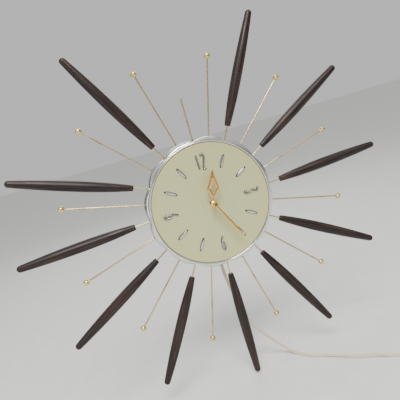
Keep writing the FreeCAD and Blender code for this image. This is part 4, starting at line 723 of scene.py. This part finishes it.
def lightRoom(look):
    # the room is bright overhead and dimmer lower down; the camera sees it as one pale tone
    world = bpy.data.worlds.new("paleRoom")
    bpy.context.scene.world = world
    world.use_nodes = True
    tree = world.node_tree
    low, high, seen = ((look[tone],) * 3 + (1,) for tone in ("low", "high", "seen"))
    way = addNode(tree, "SeparateXYZ", {}, Vector=addNode(tree, "TexCoord").outputs["Generated"])
    glow = mixColour(tree, spanNode(tree, way.outputs["Z"], *look["span"], soft=True), low, high)
    byCamera = addNode(tree, "LightPath").outputs["Is Camera Ray"]
    feed(tree, tree.nodes["Background"].inputs["Color"], mixColour(tree, byCamera, glow, seen))


lightRoom(roomLook)
makeStage()
makeLight("ceiling", (1.0, 0.7), 52.0, (-0.15, -1.25, 1.55), (0, 0, -0.03), (1.0, 0.985, 0.96))
makeLight("side", (1.2, 1.2), 9.0, (-1.7, -1.0, 0.3), (0, 0, -0.05), (0.96, 0.98, 1.0))
makeLight("behind", (1.2, 1.2), 9.0, (0.2, 1.3, 1.0), (0, 0, 0))
print("floor and lights made")

# Rays: rods, spindles and balls, each turned about its own line out from the arbor.

rodRadius = 1.2
rayShape = {"plane": outOf("hour_rods") - rodRadius, "foot": 87.5, "bend": 97.5, "round": 2.0,
            "hourEnd": 166.5, "ball": 226.0, "ballRadius": 4.7}
leans = {1: -3.0, 3: -2.5, 9: -2.0, 10: -10.8}  # hours whose rods have been knocked, in degrees


def rayLine(hour, radii):
    # points out along a ray: straight to the bend, then turned there by its lean
    turn = 30.0 * hour
    lean = turn + leans.get(hour, 0.0)
    bendAt = np.array(polar(rayShape["bend"], turn))
    radii = np.array(radii, float)[:, None]
    before = np.array(polar(1.0, turn)) * radii
    after = bendAt + np.array(polar(1.0, lean)) * (radii - rayShape["bend"])
    flat = np.where(radii <= rayShape["bend"], before, after)
    return place(flat[:, 0], rayShape["plane"], flat[:, 1])


def rodShell(hour, end):
    # a round bar along the ray; its outer end is rounded over by a quarter of an ellipse
    bend, soft = rayShape["bend"], rayShape["round"]
    nose = rodRadius * 0.45
    steps = np.array([-2, -1, -0.5, 0.5, 1, 2])
    inner = [rayShape["foot"], *(bend + steps * soft)]
    arc = np.linspace(0, np.pi / 2, 7)[:-1]
    outer = end - nose + nose * np.sin(arc)
    line = rayLine(hour, inner + list(outer))
    grow = np.concatenate([np.ones(len(inner)), 0.55 + 0.45 * np.cos(arc)])
    turn = fullTurn(20)
    outline = np.column_stack([np.cos(turn), np.sin(turn)]) * rodRadius
    return swept(line, (0, -1.0, 0), outline, grow=grow)


hourRods = [rodShell(hour, rayShape["hourEnd"]) for hour in range(12)]
halfRods = [rodShell(hour + 0.5, rayShape["ball"]) for hour in range(12)]
pieceFrom("rods_long", hourRods, "rodBrass", ("hour_rods",))
pieceFrom("rods_ball", halfRods, "rodBrass", ("half_hour_rods",))

spindleShape = {"start": 123.5, "tip": 305.0, "inner": 4.7, "belly": 8.2, "bellyAt": 0.44, "outer": 5.2,
                "around": 40}


def spindleProfile(shape):
    # an arc up to the belly, an arc down from it, and a round nose; the inner end is eased
    noseAt = shape["tip"] - shape["outer"] - shape["start"]
    bellyAt = shape["bellyAt"] * (shape["tip"] - shape["start"])
    eased = np.array([(0, 0.80), (0.08, 0.88), (0.3, 0.95), (0.7, 0.985), (1.2, 1.0)])
    rows = [eased * (1, shape["inner"])]
    for start, end, least in ((1.8, bellyAt, shape["inner"]), (bellyAt, noseAt, shape["outer"])):
        span, drop = end - start, shape["belly"] - least
        along = np.linspace(start, end, 40)
        bow = (span ** 2 + drop ** 2) / (2 * drop)  # radius of the arc
        away = np.abs(along - bellyAt)
        radius = shape["belly"] - (bow - np.sqrt(bow ** 2 - away ** 2))
        rows.append(np.column_stack([along, radius])[:-1])
    nose = np.linspace(0, np.pi / 2, 14)[:-1]
    rows.append(np.column_stack([noseAt + shape["outer"] * np.sin(nose), shape["outer"] * np.cos(nose)]))
    return np.vstack(rows)


def makeSpindle(hour, shape):
    # the profile turned about its ray; the lasting vector is the place on the spindle, its length
    # along the third number
    foot, tip = rayLine(hour, (shape["start"], shape["tip"]))
    axis = (tip - foot) / np.linalg.norm(tip - foot)
    shell = turnedShell(spindleProfile(shape), foot, axis, shape["around"])
    across = np.cross(axis, (0, 1.0, 0))
    moved = shell[0] - foot
    own = np.column_stack([moved @ across, moved @ np.array((0, 1.0, 0)), moved @ axis])
    own += np.array((0.31, 0.17, 0.53)) * hour  # each is cut from another part of the board
    return pieceFrom("walnut_spindle_%02d" % hour, [shell], "spindleWalnut", ("spindle_%02d" % hour,),
                     lasting=[own])


for hour in range(1, 12):
    makeSpindle(hour, spindleShape)


def ballShell(hour):
    # a sphere with a short collar where the rod goes in
    foot, tip = rayLine(hour + 0.5, (rayShape["ball"], rayShape["ball"] + 10))
    radius = rayShape["ballRadius"]
    neck = 2.0  # radius where the sphere meets its collar
    turn = np.linspace(-math.acos(neck / radius), np.pi / 2, 34)[:-1]
    sphere = np.column_stack([radius * np.sin(turn), radius * np.cos(turn)])
    collar = [(-radius - 0.5, 1.5), (-radius - 0.45, 1.85), (-radius + 0.2, 1.95)]
    return turnedShell(np.vstack([collar, sphere]), foot, tip - foot, around=40)


pieceFrom("brass_balls", [ballShell(hour) for hour in range(12)], "ballBrass", ("ball_finials",))
print("rods, spindles and balls made")

# Dial and bezel: turned forms about the arbor; the bezel's edge goes out in lobes between the hours.

dialShape = {"face": 47.7, "thickness": 0.8, "radius": 97.0, "flatTo": 93.2, "rollDown": 0.45,
             "hole": 3.3, "soft": 0.15, "around": 192}


def ringShell(section, around):
    # section rows are (radius, out) in mm, or one such section for each angle, carried round the arbor
    turn = np.linspace(0, 360, around, endpoint=False)
    section = np.broadcast_to(np.array(section, float), (around,) + np.shape(section)[-2:])
    side, rise = polar(section[..., 0], turn[:, None])
    return gridShell(place(side, section[..., 1], rise), ring=True)


def makeDial(shape):
    # flat to near its edge, where the face rolls down by the square of the way to the edge
    reach, flatTo, hole, soft = (shape[key] for key in ("radius", "flatTo", "hole", "soft"))
    radius = np.concatenate([[hole + soft], np.linspace(4, flatTo, 30),
                             np.linspace(flatTo, reach - soft, 14)[1:]])
    out = shape["face"] - shape["rollDown"] * np.clip((radius - flatTo) / (reach - flatTo), 0, 1) ** 2
    back = shape["face"] - shape["thickness"]
    front = np.column_stack([radius, out])
    rim = [(reach, out[-1] - soft), (reach, back + 0.05), (reach - 0.1, back)]
    inner = [(hole + 0.1, back), (hole, back + 0.1), (hole, shape["face"] - soft)]
    shell = ringShell(np.vstack([front, rim, inner]), shape["around"])
    return pieceFrom("dial_face", [shell], "dialEnamel", ("dial_plate",))


bezelShape = {"lipRadius": 96.7, "lipOut": 47.85, "lipSize": 1.3, "shoulder": 98.4, "shoulderOut": 47.9,
              "back": 37.0, "notch": 100.0, "lobe": 104.5, "sheet": 1.0, "bulge": 0.9, "perLobe": 28}


def makeBezel(shape):
    # edge radius = notch + (lobe - notch)(1 - x^2), x from -1 at one hour to 1 at the next; from the
    # shoulder the skirt goes out by a sine and back by a cosine (to the power of its bulge) of one
    # quarter turn
    count = 12 * shape["perLobe"]
    x = (np.arange(count) % shape["perLobe"]) / shape["perLobe"] * 2 - 1
    edge = shape["notch"] + (shape["lobe"] - shape["notch"]) * (1 - x ** 2)
    bead = np.radians(np.linspace(200, 10, 15))
    lip = np.column_stack([shape["lipRadius"] + shape["lipSize"] * np.cos(bead),
                           shape["lipOut"] + shape["lipSize"] * np.sin(bead)])
    lip = np.broadcast_to(lip, (count,) + lip.shape)

    def skirt(shoulder, out, reach, samples):
        # one wall of the skirt, at every angle
        v = np.linspace(0, np.pi / 2, samples)
        radius = shoulder + (reach[:, None] - shoulder) * np.sin(v)
        depth = shape["back"] + (out - shape["back"]) * np.cos(v) ** shape["bulge"] + 0 * reach[:, None]
        return np.stack([radius, depth], axis=-1)

    shoulder, out, sheet = shape["shoulder"], shape["shoulderOut"], shape["sheet"]
    outside = skirt(shoulder, out, edge, 26)
    inside = skirt(shoulder - sheet, out - sheet, edge - sheet, 12)
    section = np.concatenate([lip, outside, inside[:, ::-1]], axis=1)
    shell = ringShell(section, count)
    return pieceFrom("bezel_shell", [shell], "bezelChrome", ("bezel_ring",), sharp=32)


makeDial(dialShape)
makeBezel(bezelShape)

# Hour marks: bright raised forms on the dial, numerals as bent wire strips with a domed top.

markShape = {"radius": 67.0, "height": 2.0, "stroke": 2.9, "wide": 5.8, "tall": 22.8, "pitch": 9.1,
             "batonLength": 22.0, "batonWidth": 5.0, "samples": 90}


def ovalPoints(middle, reach, start, end, count):
    # points round an ellipse, from one angle to another
    turn = np.radians(np.linspace(start, end, count))
    return [(middle[0] + reach[0] * math.cos(a), middle[1] + reach[1] * math.sin(a)) for a in turn]


digits = {  # shares of a digit's width and height, from its middle; the nine is a six turned round
    "1": [(-0.05, 0.5), (0.1, -0.5)],
    "2": ovalPoints((0.0, 0.27), (0.42, 0.23), 165, -30, 5) + [(-0.42, -0.5), (0.5, -0.46)],
    "3": ([(-0.5, 0.5), (0.45, 0.42), (-0.12, 0.08)]
          + ovalPoints((0.0, -0.22), (0.42, 0.28), 60, -160, 5)),
    "6": [(0.3, 0.5), (-0.22, 0.18)] + ovalPoints((0.0, -0.24), (0.4, 0.26), 160, 520, 8),
}


def strokeShell(name, shift, hour, turn):
    # a line through the digit's points, turned and set on the dial, with a half-round strip along it
    flat = np.array(digits[name]) * (markShape["wide"], markShape["tall"]) + (shift, 0)
    flat = smoothLine(flat, markShape["samples"])
    a = math.radians(turn)
    flat = flat @ np.array([(math.cos(a), -math.sin(a)), (math.sin(a), math.cos(a))])
    side, rise = polar(markShape["radius"], 30 * hour)
    line = place(flat[:, 0] + side, dialShape["face"], flat[:, 1] + rise)
    dome = np.linspace(0, np.pi, 15)
    half, high = markShape["stroke"] / 2, markShape["height"]
    outline = np.column_stack([half * np.cos(dome), high * np.sin(dome) ** 0.9])
    gone = distanceAlong(line) / mm
    near = np.clip(np.minimum(gone, gone[-1] - gone) / half, 0, 1)
    grow = 0.25 + 0.75 * np.sqrt(1 - (1 - near) ** 2)  # each end is rounded over by a quarter circle
    return swept(line, (0, -1.0, 0), outline, grow=grow)


def makeNumeral(name, text, hour, turn, node):
    # one strip for each digit, side by side by the pitch
    shifts = [markShape["pitch"] * (k - (len(text) - 1) / 2) for k in range(len(text))]
    shells = [strokeShell(letter, shift, hour, turn) for letter, shift in zip(text, shifts)]
    return pieceFrom(name, shells, "numeralChrome", (node,), slotName="mark_chrome", sharp=50)


def batonShell(hour):
    # half-width = W(1 - u^2)^0.45 along u from -1 to 1; across it the height is a half circle's
    u = np.sin(np.linspace(-np.pi / 2, np.pi / 2, 41)) * 0.9995
    half = markShape["batonWidth"] / 2 * (1 - u ** 2) ** 0.45
    dome = np.linspace(0, np.pi, 17)
    across = half[:, None] * np.cos(dome)
    up = markShape["height"] * ((1 - u ** 2) ** 0.3)[:, None] * np.sin(dome) ** 0.9
    along = markShape["batonLength"] / 2 * u[:, None] + markShape["radius"] + 0 * across
    return gridShell(turnedPlace(30 * hour, along, across, dialShape["face"] + up))


makeNumeral("mark_twelve", "12", 0, 0, "numeral_12")
makeNumeral("mark_three", "3", 3, 90, "numeral_3")
makeNumeral("mark_six", "6", 6, 0, "numeral_6")
makeNumeral("mark_nine", "6", 9, 90, "numeral_9")
pieceFrom("mark_ovals", [batonShell(hour) for hour in (1, 2, 4, 5, 7, 8, 10, 11)], "markChrome",
          ("hour_batons",), sharp=50)
print("dial, bezel and hour marks made")

# Hands: pressed sheet with a ridge; height rises from each edge by a slope.

hourHandShape = {"back": 59.9, "sheet": 0.6, "turn": 12.7667, "length": 54.0, "crown": 0.9, "boss": 5.0,
                 "bossHeight": 1.0,
                 "outer": ((3.0, 1.6), (0.16, 1.8), (0.42, 10.0), (0.72, 4.4), (1.0, 0.0)),
                 "cut": ((0.27, 0.0), (0.44, 4.6), (0.66, 0.0)), "ringFrom": 0.16, "ringTo": 0.80,
                 "stem": ((3.0, 1.6), (0.999, 2.0)), "stemTo": 0.30, "pointFrom": 0.76}
minuteHandShape = {"back": 63.1, "sheet": 0.6, "turn": 153.2, "length": 75.5, "crown": 0.8, "boss": 4.1,
                   "bossHeight": 0.9,
                   "outer": ((2.5, 1.5), (0.12, 1.7), (0.76, 2.8), (1.0, 0.0))}


def halfWidthOf(table, length, along):
    # the drawn half-width, straight between its rows; a share above 1 is already in mm
    where = np.array([row[0] * length if row[0] <= 1 else row[0] for row in table])
    return np.interp(along, where, [row[1] for row in table])


def bossShell(shape):
    # a low turned collar about the arbor
    radius, sheet = shape["boss"], shape["sheet"]
    high = sheet + shape["bossHeight"]
    profile = [(0, radius - 0.1), (0.1, radius), (sheet, radius), (sheet + 0.15, radius - 0.2),
               (high - 0.25, radius - 0.9), (high, radius - 1.3)]
    return turnedShell(profile, place(0, shape["back"], 0), (0, -1, 0))


fullHalf = 2.8  # half-width in mm from which a hand's ridge stands at its full height


def leafShell(shape, fromAlong):
    # rows along the hand; across it, the height is the sheet plus a roof that falls to each edge
    u = np.linspace(fromAlong, shape["length"], 90)
    half = np.maximum(halfWidthOf(shape["outer"], shape["length"], u), 0.02)
    across = np.array([-1, -0.96, -0.5, -0.03, 0.03, 0.5, 0.96, 1])
    roof = shape["crown"] * (1 - np.abs(across)) * np.minimum(half / fullHalf, 1)[:, None]
    top = shape["back"] + shape["sheet"] * np.where(np.abs(across) == 1, 0.6, 1) + roof
    front = turnedPlace(shape["turn"], u[:, None] + 0 * top, half[:, None] * across, top)
    bottom = shape["back"] + 0 * half[:, None] + 0 * across[[0, -1]]
    back = turnedPlace(shape["turn"], u[:, None] + 0 * bottom, half[:, None] * across[[-1, 0]], bottom)
    return gridShell(np.concatenate([front, back], axis=1))


def skeletonShell(shape):
    # a ring from the outer edge to the cut-out: both edges are walked round in step, and between
    # them the height is the sheet plus the crown times twice the distance to the nearer edge
    length = shape["length"]

    def bothSides(key, start, end):
        # points up the right side of an edge and down its left
        along = length * np.linspace(start, end, 61)
        right = np.column_stack([along, halfWidthOf(shape[key], length, along)])
        return np.vstack([right, (right * (1, -1))[::-1]])

    outer = bothSides("outer", shape["ringFrom"], shape["ringTo"])
    last = bothSides("cut", shape["cut"][0][0], shape["cut"][-1][0])
    shares = np.array([0, 0.02, 0.5, 0.98, 1])
    flat = outer[:, None] + (last - outer)[:, None] * shares[:, None]
    gap = np.linalg.norm(last - outer, axis=1)[:, None]
    rise = np.minimum(shares, 1 - shares) * 2 * np.minimum(gap / 4, 1) * shape["crown"]
    top = shape["back"] + shape["sheet"] * np.where((shares == 0) | (shares == 1), 0.6, 1) + rise
    front = turnedPlace(shape["turn"], flat[..., 0], flat[..., 1], top)
    ends = flat[:, [-1, 0]]
    back = turnedPlace(shape["turn"], ends[..., 0], ends[..., 1], np.full(ends.shape[:2], shape["back"]))
    return gridShell(np.concatenate([front, back], axis=1), ring=True)


def makeHourHand(shape):
    # a stem, a pierced blade, a point and a collar that run into each other
    stem = dict(shape, outer=shape["stem"], length=shape["stemTo"] * shape["length"])
    point = leafShell(shape, shape["pointFrom"] * shape["length"])
    shells = [skeletonShell(shape), leafShell(stem, 3.0), point, bossShell(shape)]
    return pieceFrom("hand_hour", shells, "handGilt", ("hour_hand",), body="hour_pipe", sharp=18)


def makeMinuteHand(shape):
    # a slender leaf and a collar
    shells = [leafShell(shape, 2.5), bossShell(shape)]
    return pieceFrom("hand_minute", shells, "handGilt", ("minute_hand",), body="minute_arbor", sharp=18)


makeHourHand(hourHandShape)
makeMinuteHand(minuteHandShape)

capShape = {"back": 64.6, "front": 72.7, "radius": 3.4, "inlay": 0.8, "dome": 0.45}


def makeCap(shape):
    # a turned cap with a groove and a dished front, and a domed front face inlaid in it
    foot = place(0, shape["back"], 0)
    high, r = shape["front"] - shape["back"], shape["radius"]
    wall = [(0, r - 0.5), (0.15, r - 0.2), (0.5, r - 0.1), (1.0, r - 0.35), (1.3, r - 0.35),
            (1.8, r - 0.05), (high - 0.9, r), (high - 0.4, r - 0.08), (high - 0.12, r - 0.35),
            (high - 0.1, r - 0.6), (high - 0.35, r - 0.75)]
    shell = turnedShell(wall, foot, (0, -1, 0), around=56)
    pieceFrom("cap_gilt", [shell], "handGilt", ("hand_cap",), body="minute_arbor")
    a = np.linspace(0, np.pi / 2, 10)[:-1]
    face = np.column_stack([high - 0.5 + shape["dome"] * np.sin(a), (r - shape["inlay"]) * np.cos(a)])
    inlay = np.vstack([[(high - 0.8, r - 0.85)], face])
    shell = turnedShell(inlay, foot, (0, -1, 0))
    pieceFrom("cap_inlay", [shell], "capRouge", body="minute_arbor", slotName="hand_gilt")


makeCap(capShape)
print("hands and cap made")

# Nodes kept from the frame take these finishes.

keptFinishes = {
    "ringAluminium": ["ray_ring"], "plateSteel": ["mounting_plate"], "coverPaint": ["rear_cover"],
    "screwSteel": ["ring_screws", "cover_screws", "movement_screws", "lamination_screws",
                   "movement_pillars", "minute_post", "centre_arbor", "intermediate_arbor",
                   "rotor_pinion"],
    "movementBrass": ["movement_front_plate", "movement_rear_plate"],
    "wheelBrass": ["centre_wheel", "cannon_pinion", "minute_wheel", "hour_wheel", "intermediate_wheel"],
    "capsuleAluminium": ["rotor_capsule"], "laminationSteel": ["stator_laminations"],
    "bobbinPlastic": ["coil_bobbin"], "windingTape": ["coil_winding"], "knobPlastic": ["set_knob"],
    "bladeBrass": ["plug_blades"],
}
for finishName, nodes in keptFinishes.items():
    for node in nodes:
        materials = frame["nodes"][node].data.materials
        materials.clear()
        materials.append(made[finishName])
print("kept nodes finished:", sum(len(nodes) for nodes in keptFinishes.values()))
